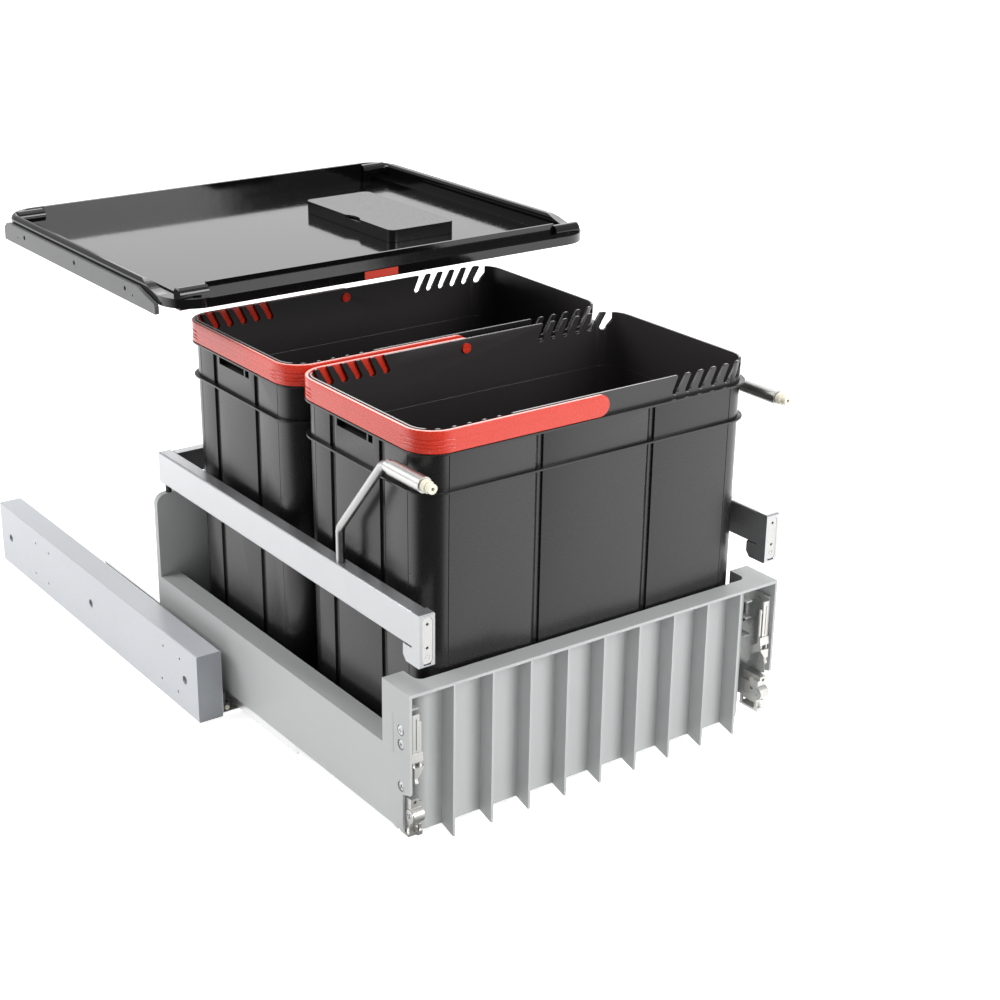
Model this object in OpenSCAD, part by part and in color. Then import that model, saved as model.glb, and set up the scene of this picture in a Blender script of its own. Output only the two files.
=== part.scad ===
// Pull-out bin frame for a 600 mm base cabinet: a moulded carrier frame on
// full-extension slides, two lift-out bins with bail handles, gallery rails
// with panel stays, spacer boards and a cabinet lid. Shown part way out.
// Front faces -Y. Local frame: front plane of the ribs y = 0, top flange z = 0.

/* [Cabinet] */
// clear width between the cabinet sides
cabinet_w = 562; // [540:1:570]
// thickness of each spacer board
spacer_t = 30; // [20:1:34]
// length of a spacer board
spacer_len = 555; // [552:1:580]
// height of a spacer board
spacer_h = 81; // [60:1:100]
// height of the board's centre line below the frame's top flange
slide_drop = 134.8; // [134:0.2:136]
// how far the frame is pulled out of the cabinet in this pose
pulled_out = 345; // [300:1:400]
// spacer board front edge behind the closed frame's front plane
board_setback = 12; // [2:1:30]

/* [Slides] */
// gap between the spacer board and the frame
side_gap = 13; // [12:0.1:14]
// length of the cabinet member
slide_len = 550; // [540:5:550]
// length of the middle member
middle_len = 500; // [480:5:505]
// length of the runner in the frame
runner_len = 466; // [440:1:468]
// sheet thickness of the members
slide_sheet = 1.4; // [1.2:0.1:1.5]
// height of the middle member
mid_h = 42; // [40:0.5:43]
// half width of the inner tracks
track_half = 3; // [2.6:0.1:3.2]
// ball radius
ball_r = 1.6; // [1.5:0.05:1.6]
// number of balls in one row of a cage
balls_per_row = 4; // [3:1:5]

/* [Carrier frame] */
// depth of the frame, front plane to rear face
frame_d = 532; // [520:1:540]
// width of the box-section side wall
side_w = 25; // [20:1:26]
// depth of the front upright
upright_d = 48; // [46:1:60]
// top of the side wall below the flange
side_top = -69.4; // [-80:0.2:-60]
// lower edge of the side wall
side_bottom = -153.4; // [-158:0.2:-150]
// lower edge of the ribbed front
rib_bottom = -171; // [-174:0.5:-160]
// moulding wall thickness
wall = 3; // [2:0.1:3.5]
// depth of the ribs in front of the well wall
rib_d = 20; // [15:0.5:22]
// number of front ribs
ribs = 9; // [5:1:11]
// spacing of the front ribs
rib_pitch = 46.4; // [38:0.1:47]
// thickness of a rib
rib_t = 2.6; // [2:0.1:4]
// outer corner radius of the well
well_r = 12; // [8:1:34]
// size of the square floor windows
window = 76; // [50:1:88]
// bar between two floor windows
bar = 18; // [12:1:26]
// top of the rear wall above the flange
rear_top = 32.4; // [20:0.2:40]
// thickness of the rear wall
rear_t = 8; // [6:0.5:10]

/* [Front fittings] */
// height of the fixing plate
plate_h = 92; // [80:1:96]
// depth of the fixing plate
plate_d = 34; // [30:1:36]
// sheet thickness of the fixing plate
plate_sheet = 2.4; // [2:0.1:2.8]
// top of the fixing plate below the flange
plate_top = 20; // [16:1:24]
// width of the fixing plate's rear flange
plate_w = 11; // [8:0.5:11.5]
// width of the lock lever's channel
lever_w = 8; // [7:0.5:8.5]
// depth of the notch in the outer wall at the adjuster
notch = 12.5; // [10:0.5:13]
// width of the adjuster block
adjuster_w = 12.5; // [11:0.5:13]
// height of the adjuster block
adjuster_h = 32; // [30:1:34]
// depth of the adjuster block
adjuster_d = 26; // [22:1:30]
// radius of the eccentric's shaft
adjuster_r = 5; // [4:0.1:5.4]
// radius of the eccentric's outer head
adjuster_head = 7; // [6.2:0.1:7.4]
// radius of a side screw's head
side_head = 5.2; // [4.6:0.1:5.6]
// radius of a side screw
side_screw = 2; // [1.6:0.1:2.2]
// radius of the sheet metal screws
small_screw = 1.45; // [1.3:0.05:1.6]
// head radius of the sheet metal screws
small_head = 3.15; // [2.8:0.05:3.3]

/* [Bins] */
// gap between a bin's rim and the frame's inner side, each side
bin_side = 10.8; // [10.4:0.2:20]
// bin depth at the rim
bin_d = 224.4; // [180:0.2:226]
// bin height
bin_h = 399; // [380:1:405]
// wall thickness of a bin
bin_wall = 2.2; // [1.8:0.1:3]
// corner radius of the rim
bin_r = 16; // [14:1:24]
// draft of the walls, each side, over the height
bin_draft = 2; // [1.5:0.5:5]
// front bin rim behind the front plane
front_bin_y = 25.3; // [25:0.1:30]
// gap between the two rims
bin_gap = 17.6; // [15:0.2:24]
// overhang of the ledge under the handle
ledge = 5.4; // [4.8:0.1:6]
// overhang of the ring below the ledge
ring = 4.8; // [2:0.1:6]
// height of the ring below the rim
ring_drop = 62; // [50:0.5:80]
// depth and width of the wall grooves
groove = 2.4; // [1.5:0.1:3]
groove_w = 9; // [4:0.5:10]
// spacing of the two grooves in a side wall
groove_gap = 90; // [60:1:110]
// how far the side grooves sit behind the middle of the bin
groove_shift = 5; // [0:1:10]
// spacing of the two grooves in the front and rear walls
front_gap = 140; // [100:1:180]
// radius of a comb slot's foot
comb_r = 4.2; // [3.4:0.1:4.4]
// spacing of the comb slots
comb_pitch = 17.1; // [16.6:0.1:17.2]
// depth of the comb below the rim, to the slots' feet
comb_h = 16.4; // [12:0.1:17.6]
// first comb slot from the bin's side wall
comb_start = 103.4; // [100:0.1:106]
// length of the grip pocket in a side wall
grip_len = 72; // [50:1:84]
// height of the handle band
band_h = 26; // [20:0.5:27]
// thickness of the handle band
band_t = 4.2; // [3:0.1:4.6]
// radius of the handle pivot pin
pin_r = 3; // [2.5:0.1:3.5]

/* [Gallery] */
// thickness of a gallery rail
rail_t = 16.4; // [14:0.1:17]
// height of a gallery rail
rail_h = 37; // [30:0.5:40]
// lower edge of the rail above the flange
rail_z = 44.4; // [40:0.2:50]
// rail outer face inside the frame's outer face
rail_inset = 9.6; // [9:0.1:12]
// thickness of the rear cross rail
cross_t = 12; // [10:0.5:14]
// wall of the rear cross rail
cross_wall = 1.4; // [1:0.1:2]
// radius of the panel stay rod
rod_r = 4.6; // [4:0.1:5]
// stay foot behind the front plane
rod_y = 149; // [130:1:170]
// height of the stay's sleeve above the flange
sleeve_z = 210; // [204:1:214]
// radius of the stay sleeve
sleeve_r = 7.9; // [7:0.1:8.2]
// length of the stay sleeve
sleeve_len = 60.5; // [50:0.5:66]

/* [Lid] */
// lid underside above the flange
lid_z = 281.5; // [281:0.5:300]
// front edge of the lid behind the front plane
lid_y = 374; // [360:1:390]
// depth of the lid
lid_d = 462; // [400:1:470]
// height of the lid's front rim above the bracket's lower edge
lid_h = 20; // [18:0.5:24]
// height of the side beads above the front rim
bead_rise = 9; // [6:0.5:11]
// width of the rim and its beads
bead_w = 11; // [9:0.5:13]
// distance of the front and rear lips from the lid's edges
lip_in = 21; // [18:0.5:24]
// height of the lips above the front rim
lip_rise = 12; // [8:0.5:13]
// distance of the plate from the lid's side edges
plate_in = 32; // [28:0.5:36]
// width and height of the tag
tag_w = 44; // [30:1:50]
tag_h = 9; // [7:0.5:10]
// middle of the tag from the middle of the lid
tag_x = -24; // [-100:1:100]
// corner radius of the lid
lid_r = 40; // [30:1:44]
// thickness of a lid bracket
bracket_t = 5; // [4:0.1:6]
// length of a lid bracket
bracket_len = 400; // [380:1:402]
// length of the filter cover
cover_len = 196; // [160:1:210]
// width of the filter cover
cover_w = 92; // [80:1:100]
// height of the filter cover
cover_h = 15; // [12:0.5:18]

/* [Clearances] */
// gap between pieces that slide or lift past each other
slip = 0.3; // [0.3:0.05:0.35]
// radial running clearance of a pin in its bore
run = 0.05; // [0.03:0.01:0.08]

/* [Hidden] */
$fn = 48;
half_cab = cabinet_w / 2;
block_x = half_cab - spacer_t;
fw = block_x - side_gap;
slide_z = -slide_drop;
block_y = pulled_out + board_setback;
block_y1 = block_y + spacer_len;
block_z = slide_z - spacer_h / 2;
slide_y = block_y + 2;
runner_y = upright_d + 3;
middle_shut = pulled_out + upright_d + 4;
middle_y = middle_shut - pulled_out / 2;
track_y = pulled_out + upright_d + 5;
slide_x = fw - side_w / 2;
side_in = side_w - 2 * wall;
mid_half = side_in / 2 - 1.3;
mid_z = side_bottom - 14.6 + mid_h / 2;
leg_z = slide_z - spacer_h / 2 + 2;
run_z = mid_z + mid_h / 2 + 6;
track_lo = mid_z - slide_sheet / 2 - 2.6;
track_hi = mid_z + slide_sheet / 2 + 2.6;
cage_t = 0.6;
well_x = fw - side_w;
well_y = rib_d + wall;
floor_z = side_bottom + wall;
bin_w = 2 * (well_x - bin_side);
bin_z = floor_z + slip;
rim_z = bin_z + bin_h;
bin_c1 = front_bin_y + bin_d / 2;
bin_c2 = bin_c1 + bin_d + bin_gap;
band_z = rim_z - 23;
pivot_z = band_z + band_h / 2;
band_gap = 0.6;
rail_x = fw - rail_inset;
rail_mid = rail_x - rail_t / 2;
rail_y1 = frame_d + 1;
cap_y = -4;
cap_len = 13.5;
tip_y = -13;
sleeve_y = 0.5;
tray_w = cabinet_w - 2 * bracket_t - 1.4;
plate_z = lid_z + 9;
plate_t = 2.5;
skirt_z = lid_z + 9.8;
lid_top = lid_z + lid_h;
bead_top = lid_top + bead_rise;
lip_top = lid_top + lip_rise;
lip_t = 3;
boss_r = 8;
boss_len = 34;
bracket_y = lid_y + 38;
cover_x = 116;
cover_y = lid_y + 125;
cover_z = plate_z + slip;
origin_y = -(tip_y + block_y1) / 2;
origin_z = -block_z;
// hardware in the front corners
plate_x = fw - wall;
lever_x = plate_x - plate_sheet - 2 * slip;
lever_y = 14;
lever_z = -84;
screw_y = 5;
screw_z = -134;
notch_z = screw_z + adjuster_head + 19;
block_out = plate_x - slip;

LIGHT = [0.86, 0.87, 0.88];
GREY = [0.70, 0.71, 0.71];
BLACK = [0.10, 0.10, 0.10];
DARK = [0.22, 0.22, 0.22];
RED = [0.85, 0.16, 0.13];
STEEL = [0.75, 0.76, 0.77];
WHITE = [0.93, 0.93, 0.90];

// puts the local frame at the part's own origin: floor of the boards, middle
module place() translate([0, origin_y, origin_z]) children();

// the left-hand piece as drawn, or its mirror image on the right
module side(right = false) mirror([right ? 1 : 0, 0, 0]) place() children();

// rounded rectangle about the origin
module rounded(w, d, r) {
  square([w - 2 * r, d], center = true);
  square([w, d - 2 * r], center = true);
  for (x = [-1, 1], y = [-1, 1])
    translate([x * (w / 2 - r), y * (d / 2 - r)]) circle(r);
}

// a rounded slab from z0 to z1
module slab(w, d, r, z0, z1) translate([0, 0, z0]) linear_extrude(z1 - z0) rounded(w, d, r);

// a section drawn in x and z, run along y
module along_y(y0, len) translate([0, y0 + len, 0]) rotate([90, 0, 0]) linear_extrude(len) children();

// a section drawn in y and z, run along x
module along_x(x0, len) translate([x0, 0, 0]) rotate([90, 0, 90]) linear_extrude(len) children();

// a round bar along x, y
module bar_x(x0, len, r) translate([x0, 0, 0]) rotate([0, 90, 0]) cylinder(r = r, h = len);
module bar_y(y0, len, r) translate([0, y0 + len, 0]) rotate([90, 0, 0]) cylinder(r = r, h = len);

// Spacer boards

big_holes = [31, spacer_len / 2, spacer_len - 31];
pilot_y = [42, 82, spacer_len - 155, spacer_len - 115];
pilot_z = 22;

module board() color(LIGHT) difference() {
  along_y(block_y, spacer_len)
    translate([-half_cab + spacer_t / 2, slide_z]) rounded(spacer_t, spacer_h, 1.5);
  for (y = big_holes)
    translate([-half_cab - 1, block_y + y, slide_z]) {
      bar_x(0, spacer_t + 2, 3.2);
      bar_x(0, 7, 5.2);
    }
  for (y = pilot_y, s = [-1, 1])
    translate([-half_cab - 1, block_y + y + (s < 0 ? 7 : 0), slide_z + s * pilot_z])
      bar_x(0, spacer_t + 2, 1.6);
}

// Slides, drawn for the left side. Each runs inside the frame's hollow
// side wall, and only the lower edge of its middle member shows below

// axes of the screws between the cabinet member and the board
module rail_screw_sites()
  for (y = [pilot_y[0], pilot_y[3]], s = [-1, 1])
    translate([-block_x + slide_sheet, block_y + y + (s < 0 ? 7 : 0), slide_z + s * pilot_z])
      rotate([0, -90, 0]) children();

module cabinet_rail() color(STEEL) difference() {
  union() {
    along_y(slide_y, slide_len) {
      translate([-block_x, leg_z]) square([slide_sheet, slide_z + spacer_h / 2 - 2 - leg_z]);
      translate([-block_x, leg_z]) square([block_x - slide_x + 6, slide_sheet]);
    }
    along_y(track_y, slide_y + slide_len - track_y) translate([-slide_x, 0]) difference() {
      translate([-track_half, leg_z]) square([2 * track_half, track_lo - leg_z]);
      translate([-track_half + slide_sheet, leg_z - 1])
        square([2 * track_half - 2 * slide_sheet, track_lo - leg_z - slide_sheet + 1]);
    }
  }
  rail_screw_sites() cylinder(r1 = small_head + 0.15, r2 = small_screw + 0.15, h = slide_sheet + 0.01);
  for (y = [150, 240, 330]) translate([-block_x - 1, slide_y + y, slide_z]) bar_x(0, 4, 4);
  for (y = [70, 200, 320, 450]) translate([-slide_x, slide_y + y, leg_z - 1]) cylinder(r = 1.6, h = 4);
}

module rail_screws() color(STEEL) rail_screw_sites() difference() {
  union() {
    cylinder(r1 = small_head, r2 = small_screw, h = slide_sheet);
    cylinder(r = small_screw, h = spacer_t * 0.6);
  }
  for (a = [0, 90]) rotate([0, 0, a]) cube([3.4, 0.7, 1.4], center = true);
}

// black end bracket of the cabinet member with its pale buffer
module rail_bracket() color(DARK) {
  translate([-block_x + slide_sheet + 0.1, slide_y + 0.5, leg_z + slide_sheet + 0.1]) difference() {
    cube([8, 16, 24]);
    translate([3, -1, 10.2]) cube([6, 18, 15]);
    translate([4.3, -1, 5.2]) bar_y(0, 6, 2.9);
  }
}

module rail_buffer() color(WHITE)
  translate([-block_x + slide_sheet + 4.4, slide_y - 1.5, leg_z + slide_sheet + 5.3]) {
    bar_y(0, 6, 2.7);
    bar_y(-0.8, 1, 1.6);
  }

module middle_rail() color(STEEL) difference() {
  along_y(middle_y, middle_len) translate([-slide_x, mid_z]) {
    translate([-mid_half, -slide_sheet / 2]) square([2 * mid_half, slide_sheet]);
    for (s = [-1, 1]) {
      translate([s > 0 ? mid_half - slide_sheet : -mid_half, -mid_h / 2]) square([slide_sheet, mid_h]);
      for (t = [-1, 1])
        translate([s > 0 ? mid_half - 2.6 : -mid_half, t > 0 ? mid_h / 2 - slide_sheet : -mid_h / 2])
          square([2.6, slide_sheet]);
    }
  }
  for (y = [60, 180, 320, 440]) translate([-slide_x, middle_y + y, mid_z - 2]) cylinder(r = 2.4, h = 4);
  for (y = [10, 76], s = [-1, 1]) translate([-slide_x, middle_y + y, mid_z - mid_h / 2 - 1])
    translate([s > 0 ? 2 : -mid_half - 1, 0, 0]) cube([mid_half - 1, 9, 3.4]);
}

runner_holes = [12, runner_len / 2 - 30, runner_len - 16];

module runner() color(STEEL) difference() {
  along_y(runner_y, runner_len) translate([-slide_x, 0]) difference() {
    union() {
      translate([-side_in / 2 + 0.6, run_z - slide_sheet]) square([side_in - 1.2, slide_sheet]);
      translate([-track_half, track_hi]) square([2 * track_half, run_z - track_hi]);
    }
    translate([-track_half + slide_sheet, track_hi + slide_sheet])
      square([2 * track_half - 2 * slide_sheet, run_z - track_hi]);
  }
  for (y = runner_holes) translate([-slide_x - 6, runner_y + y, run_z - 3]) cylinder(r = 1.6, h = 4);
}

module runner_screws() color(STEEL)
  for (y = runner_holes) translate([-slide_x - 6, runner_y + y, run_z]) difference() {
    union() {
      translate([0, 0, -slide_sheet - 1.3]) cylinder(r = small_screw + 1.05, h = 1.3);
      translate([0, 0, -slide_sheet - 0.5]) cylinder(r = small_screw, h = 14);
    }
    for (a = [0, 90]) translate([0, 0, -slide_sheet - 1.3]) rotate([0, 0, a])
      cube([3, 0.6, 1.2], center = true);
  }

// ball cage: a folded strip with its balls standing in it
module cage(y0, len, up) color(DARK) {
  s = up ? 1 : -1;
  bu = (track_half + mid_half - slide_sheet) / 2;
  web = s * (slide_sheet / 2 + 1.4);
  end = s * (mid_h / 2 - slide_sheet - 2.2);
  along_y(y0, len) translate([-slide_x, mid_z]) {
    translate([-bu, min(web, web + s * cage_t)]) square([2 * bu, cage_t]);
    for (t = [-1, 1]) translate([t * bu - cage_t / 2, min(web, end)]) square([cage_t, abs(end - web)]);
  }
  for (i = [0 : balls_per_row - 1], t = [-1, 1], k = [0, 1])
    translate([-slide_x + t * bu, y0 + 10 + i * (len - 20) / (balls_per_row - 1),
      mid_z + s * (slide_sheet / 2 + 5.6 + k * 9.4)]) sphere(ball_r, $fn = 20);
}

lower_cage_len = 210;
upper_cage_len = 180;
lower_cage_y = middle_shut + 144 - pulled_out / 4;
upper_cage_y = middle_shut + 143 - 0.75 * pulled_out;
module lower_cage() cage(lower_cage_y, lower_cage_len, false);
module upper_cage() cage(upper_cage_y, upper_cage_len, true);

// Carrier frame, one moulding

module well(grow, z0, z1) translate([0, (well_y + frame_d - rear_t) / 2, 0])
  slab(2 * well_x + 2 * grow, frame_d - rear_t - well_y + 2 * grow, max(1, well_r - wall + grow), z0, z1);

module side_box() difference() {
  translate([-fw, upright_d - wall, side_bottom])
    cube([side_w, frame_d - upright_d - rear_t + wall + 1, side_top - side_bottom]);
  difference() {
    translate([-fw + wall, upright_d, side_bottom - 1])
      cube([side_in, frame_d - upright_d, side_top - side_bottom - wall + 1]);
    for (y = runner_holes) {
      translate([-fw, runner_y + y - 1.5, run_z]) cube([side_w, 3, -run_z]);
      translate([-slide_x - 6, runner_y + y, run_z]) cylinder(r = 3.4, h = -run_z);
    }
  }
}

// way out at the back for the middle member, with its clearance
module slide_way() translate([-fw + wall, frame_d - rear_t - wall - 1, side_bottom - 1])
  cube([side_in, rear_t + wall + 2, run_z - side_bottom + 1]);

module corner_upright() {
  along_x(-fw, wall) polygon([[0, 0], [upright_d, 0], [upright_d, side_bottom],
    [notch, side_bottom], [notch, notch_z - 4], [0, notch_z]]);
  translate([-fw, upright_d - wall, side_top - wall])
    cube([side_w, wall, -side_top + wall]);
  // webs between the well and the rear of the corner
  for (z = [-29, -48, -69]) translate([-well_x - wall - 6, upright_d - 28, z]) cube([8, 27, 2]);
  translate([-well_x - wall - 6, upright_d - 5, -69]) cube([2, 3, 69]);
}

module rib_row() for (i = [0 : ribs - 1])
  along_x((i - (ribs - 1) / 2) * rib_pitch - rib_t / 2, rib_t)
    polygon([[0, 0], [0, rib_bottom], [rib_d + 1, rib_bottom + 6], [rib_d + 1, 0]]);

module rear_wall() translate([0, frame_d, 0]) rotate([90, 0, 0]) linear_extrude(rear_t) difference() {
  translate([0, (rear_top + side_bottom) / 2]) rounded(2 * fw, rear_top - side_bottom, 12);
  translate([-fw - 1, side_bottom - 1]) square([2 * fw + 2, 1]);
}

module rear_feet() for (s = [-1, 1])
  translate([s > 0 ? fw - 14 : -fw, frame_d - rear_t, side_bottom]) cube([14, rear_t, 14]);

module floor_windows() for (y = [bin_c1, bin_c2], i = [-1.5, -0.5, 0.5, 1.5], j = [-1, 1])
  translate([i * (window + bar), y + j * (window + bar) / 2, side_bottom - 1])
    slab(window, window, 8, 0, wall + 2);

module floor_ribs() {
  translate([-well_x, bin_c1 + bin_d / 2 + bin_gap / 2 - 1.5, side_bottom])
    cube([2 * well_x, 3, wall + 18]);
  for (x = [-1, 1]) translate([x * (window + bar) - 1, well_y, side_bottom - 6])
    cube([2, frame_d - rear_t - well_y, 7]);
}

module carrier_frame() place() color(GREY) difference() {
  union() {
    for (m = [0, 1]) mirror([m, 0, 0]) {
      side_box();
      corner_upright();
    }
    difference() {
      union() {
        intersection() {
          well(wall, rib_bottom + 6, 0);
          along_y(0, upright_d) polygon([[-fw, 0], [fw, 0], [fw, side_bottom + 20],
            [well_x + wall, side_bottom], [well_x - 8, rib_bottom], [8 - well_x, rib_bottom],
            [-well_x - wall, side_bottom], [-fw, side_bottom + 20]]);
        }
        well(wall, side_bottom, side_top - 6);
        translate([-fw, 0, -3.2]) cube([2 * fw, upright_d, 3.2]);
      }
      well(0, floor_z, 1);
      well(-20, rib_bottom - 1, side_bottom);
    }
    rib_row();
    rear_wall();
    rear_feet();
    floor_ribs();
  }
  floor_windows();
  for (m = [0, 1]) mirror([m, 0, 0]) {
    side_screw_sites() {
      bar_x(-1, wall + 2, side_screw + 0.1);
      bar_x(-1, 2.6, side_head + 0.5);
    }
    translate([-fw - 1, seam_y, -plate_top - 53]) cube([1.4, 0.6, 44]);
    slide_way();
    for (y = runner_holes) translate([-slide_x - 6, runner_y + y, run_z - 1])
      cylinder(r = small_screw + run, h = 15);
  }
  rear_post_sites() cylinder(r = 2.6, h = 40, center = true);
}

// Front corner hardware

// axes of the screws let into the outer face of the upright
module side_screw_sites() for (z = side_screw_z)
  translate([-fw, 15.5, z - plate_top]) children();

side_screw_z = [-23, -38.6, -84.6];
seam_y = 28.4;

module fixing_plate() color(STEEL) difference() {
  union() {
    translate([-plate_x + slip, 5, -plate_top - plate_h]) cube([plate_sheet, plate_d, plate_h]);
    translate([-plate_x + slip, 5 + plate_d - plate_sheet, -plate_top - plate_h])
      cube([plate_w, plate_sheet, plate_h]);
  }
  side_screw_sites() bar_x(0, 8, side_screw + 0.1);
  translate([-plate_x - 1, lever_y, lever_z]) bar_x(0, 6, pin_r + run);
  translate([-plate_x + 5, 30, -plate_top - 40]) cube([4, 12, 24]);
}

// lock lever: channel, cross band, two arms to the pivot, beak and tail
module lock_lever() color(STEEL) difference() {
  union() {
    translate([-lever_x, 3.8, lever_z + 17]) cube([lever_w, 2, 43]);
    translate([-lever_x, 3.8, lever_z + 17]) cube([1.6, 6.2, 43]);
    translate([-lever_x + lever_w + 0.9, 5, lever_z + 8]) cube([2.1, 2, 43]);
    translate([-lever_x + lever_w - 2, 5, lever_z + 46]) cube([5, 0.8, 3]);
    along_x(-block_out + slip, lever_w + 5.6) polygon([[2, lever_z + 9], [4.4, lever_z + 8],
      [4.7, lever_z + 17.6], [3, lever_z + 18]]);
    for (x = [0, lever_w - 0.4]) along_x(-lever_x + x, 2) polygon([[3, lever_z + 10], [6, lever_z + 11],
      [18, lever_z + 3], [18, lever_z - 3], [14, lever_z - 5], [9, lever_z - 1], [3, lever_z + 1]]);
    along_y(0.6, 3.6) polygon([[-lever_x, lever_z + 3.6], [-lever_x + lever_w + 3.4, lever_z + 4.4],
      [-lever_x + lever_w + 2.6, lever_z + 2], [-lever_x + 4.6, lever_z - 7.4], [-lever_x, lever_z - 6]]);
    along_x(-lever_x + 0.8, 3.6) polygon([[1.6, lever_z - 4], [4.2, lever_z - 4], [3.8, lever_z - 9],
      [1.4, lever_z - 14], [0.2, lever_z - 13.2], [2, lever_z - 8.4]]);
    translate([-plate_x + slip, lever_y, lever_z]) bar_x(0, plate_sheet + slip + lever_w + 1.4, pin_r);
  }
  translate([-lever_x + lever_w / 2 - 0.4, 3, lever_z + 21]) cube([1.2, 1.6, 34]);
}

// height adjuster: a die-cast block on a foot, with an eccentric across its front
module adjuster_block() color(STEEL) translate([-block_out, 0, screw_z]) difference() {
  union() {
    translate([0, 3, 9]) cube([adjuster_w - 3, adjuster_d, adjuster_h - 22]);
    translate([0, 3, 9]) cube([adjuster_w, adjuster_d - 12, adjuster_h - 26]);
    translate([0, 4, -12]) cube([adjuster_w, adjuster_d - 1, 22]);
    translate([0, screw_y, 0]) bar_x(0, adjuster_w, adjuster_r + 2.8);
    // legs and the foot that they stand on
    for (y = [3.4, adjuster_d]) translate([adjuster_w - 2.6, y, -foot_drop]) cube([2.6, 3, foot_drop - 11]);
    translate([0, 10, -foot_drop]) cube([2.4, adjuster_d - 8, foot_drop - 11]);
    translate([-2.4, 4, -foot_drop - 2.4]) cube([adjuster_w + 2.4, adjuster_d, 2.5]);
    translate([adjuster_w - 6, 1.6, -foot_drop - 2.4]) cube([6, 6, 4.4]);
  }
  translate([0, screw_y, 0]) {
    bar_x(-1, adjuster_w + 2, adjuster_r + run);
    bar_x(-1, 2.4, adjuster_head + slip);
  }
  translate([adjuster_w / 2 - 1.4, 0, 15]) bar_y(-1, 12, small_screw + 0.15);
  translate([adjuster_w - 2.4, 10, 2]) cube([4, 5, adjuster_h]);
  translate([-3, 19, -foot_drop - 3]) cube([3.4, 4.6, 4]);
  translate([2.6, 3.4, -12.6]) cube([2.8, 5, 3.4]);
}

foot_drop = screw_z - side_bottom + slip;

module adjuster_screw() color(STEEL) translate([-block_out, screw_y, screw_z]) difference() {
  union() {
    bar_x(-0.7, 1.9, adjuster_head);
    bar_x(-0.7, adjuster_w + 1.2, adjuster_r);
  }
  for (a = [20, 110], x = [-0.9, adjuster_w]) translate([x, 0, 0]) rotate([a, 0, 0])
    translate([0, -3.6, -0.7]) cube([1, 7.2, 1.4]);
}

// the first screw stands proud of the wall, the others lie in it
module side_screws() color(STEEL) for (i = [0 : 2])
  translate([-fw + (i == 0 ? -0.7 : 0.2), 15.5, side_screw_z[i] - plate_top]) difference() {
    union() {
      translate([0.6, 0, 0]) bar_x(0, 0.8, side_head);
      translate([0.6, 0, 0]) rotate([0, -90, 0]) cylinder(r1 = side_head, r2 = side_head - 1.6, h = 0.6);
      bar_x(1, wall + plate_sheet - 1, side_screw);
    }
    for (a = [15, 105]) rotate([a, 0, 0]) translate([-0.4, -3, -0.6]) cube([1.3, 6, 1.2]);
  }

// Gallery rails with front caps, rear cross rail and posts

module gallery_rail() color(LIGHT) difference() {
  along_y(cap_y + cap_len + 0.1, rail_y1 - cap_y - cap_len - 0.1)
    translate([-rail_mid, rail_z + rail_h / 2]) difference() {
      rounded(rail_t, rail_h, 2.2);
      rounded(rail_t - 2.6, rail_h - 2.6, 1.2);
    }
  translate([-rail_mid, rod_y, rail_z + 8]) cylinder(r = rod_r + 0.1, h = rail_h);
  translate([-rail_mid + 1, frame_d - 8, rail_z + rail_h / 2]) bar_x(0, rail_t, 2.1);
  rear_post_sites() cylinder(r = 2.6, h = 60, center = true);
}

module front_cap() color(LIGHT) difference() {
  union() {
    along_x(-rail_x - 0.5, rail_t + 1) polygon([
      [cap_y, rail_z - 15.8], [cap_y + 1.6, rail_z - 17.4], [cap_y + 23.4, rail_z - 17.4],
      [cap_y + 28.5, rail_z - 11.6], [cap_y + 28.5, rail_z - 0.1],
      [cap_y + cap_len, rail_z - 0.1], [cap_y + cap_len, rail_z + rail_h + 0.6],
      [cap_y + 1.6, rail_z + rail_h + 0.6], [cap_y, rail_z + rail_h - 1]]);
    along_y(cap_y + cap_len - 1, 20) translate([-rail_mid, rail_z + rail_h / 2])
      rounded(rail_t - 3, rail_h - 3, 1.1);
  }
  along_y(cap_y - 1, 2.6) translate([-rail_mid, rail_z + 10.4]) rounded(11.6, 47.6, 4.6);
  translate([-rail_mid, 0, rail_z - 13.2]) translate([-4, cap_y - 1, -1.6]) cube([8, 4, 3.2]);
  for (z = cap_holes) translate([-rail_mid, 0, z]) bar_y(cap_y, 22, 1.6);
}

cap_holes = [rail_z + 3, rail_z + 27.6];

module cap_insert() color(WHITE) difference() {
  along_y(cap_y + 0.2, 1.3) translate([-rail_mid, rail_z + 10.4]) rounded(11.2, 47.2, 4.4);
  for (z = cap_holes) translate([-rail_mid, 0, z]) bar_y(cap_y - 1, 4, 1.6);
  translate([-rail_mid, 0, rail_z - 6.6]) difference() {
    bar_y(cap_y - 1, 1.6, 2.6);
    bar_y(cap_y - 2, 4, 2);
  }
}

module rear_cross_rail() place() color(LIGHT) difference() {
  translate([-rail_x + rail_t + 0.1, frame_d - 2 - cross_t, rail_z + 10])
    cube([2 * (rail_x - rail_t - 0.1), cross_t, rail_h - 10.6]);
  translate([-rail_x, frame_d - 2 - cross_t + cross_wall, rail_z + 8.8])
    cube([2 * rail_x, cross_t - 2 * cross_wall, rail_h - 10.8]);
}

// axes of the posts that stand on the rear wall
module rear_post_sites() for (s = [-1, 1])
  translate([s * rail_mid, frame_d - rear_t / 2, rear_top]) children();

module rear_post() color(DARK) translate([-rail_mid, frame_d - rear_t / 2, 0]) {
  translate([0, 0, rear_top + 0.1]) cylinder(r = 3.6, h = rail_z - rear_top - 0.2);
  translate([0, 0, rear_top - 12]) cylinder(r = 2.5, h = rail_z - rear_top + 20);
}

// Panel stays: rod, sleeve and adjustable tip

rod_bend = 16;
rod_lean = 41;
rod_rise = sleeve_z - rail_z - rail_h - 30;
rod_slant = (rod_rise - rod_bend) / cos(rod_lean);

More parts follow.
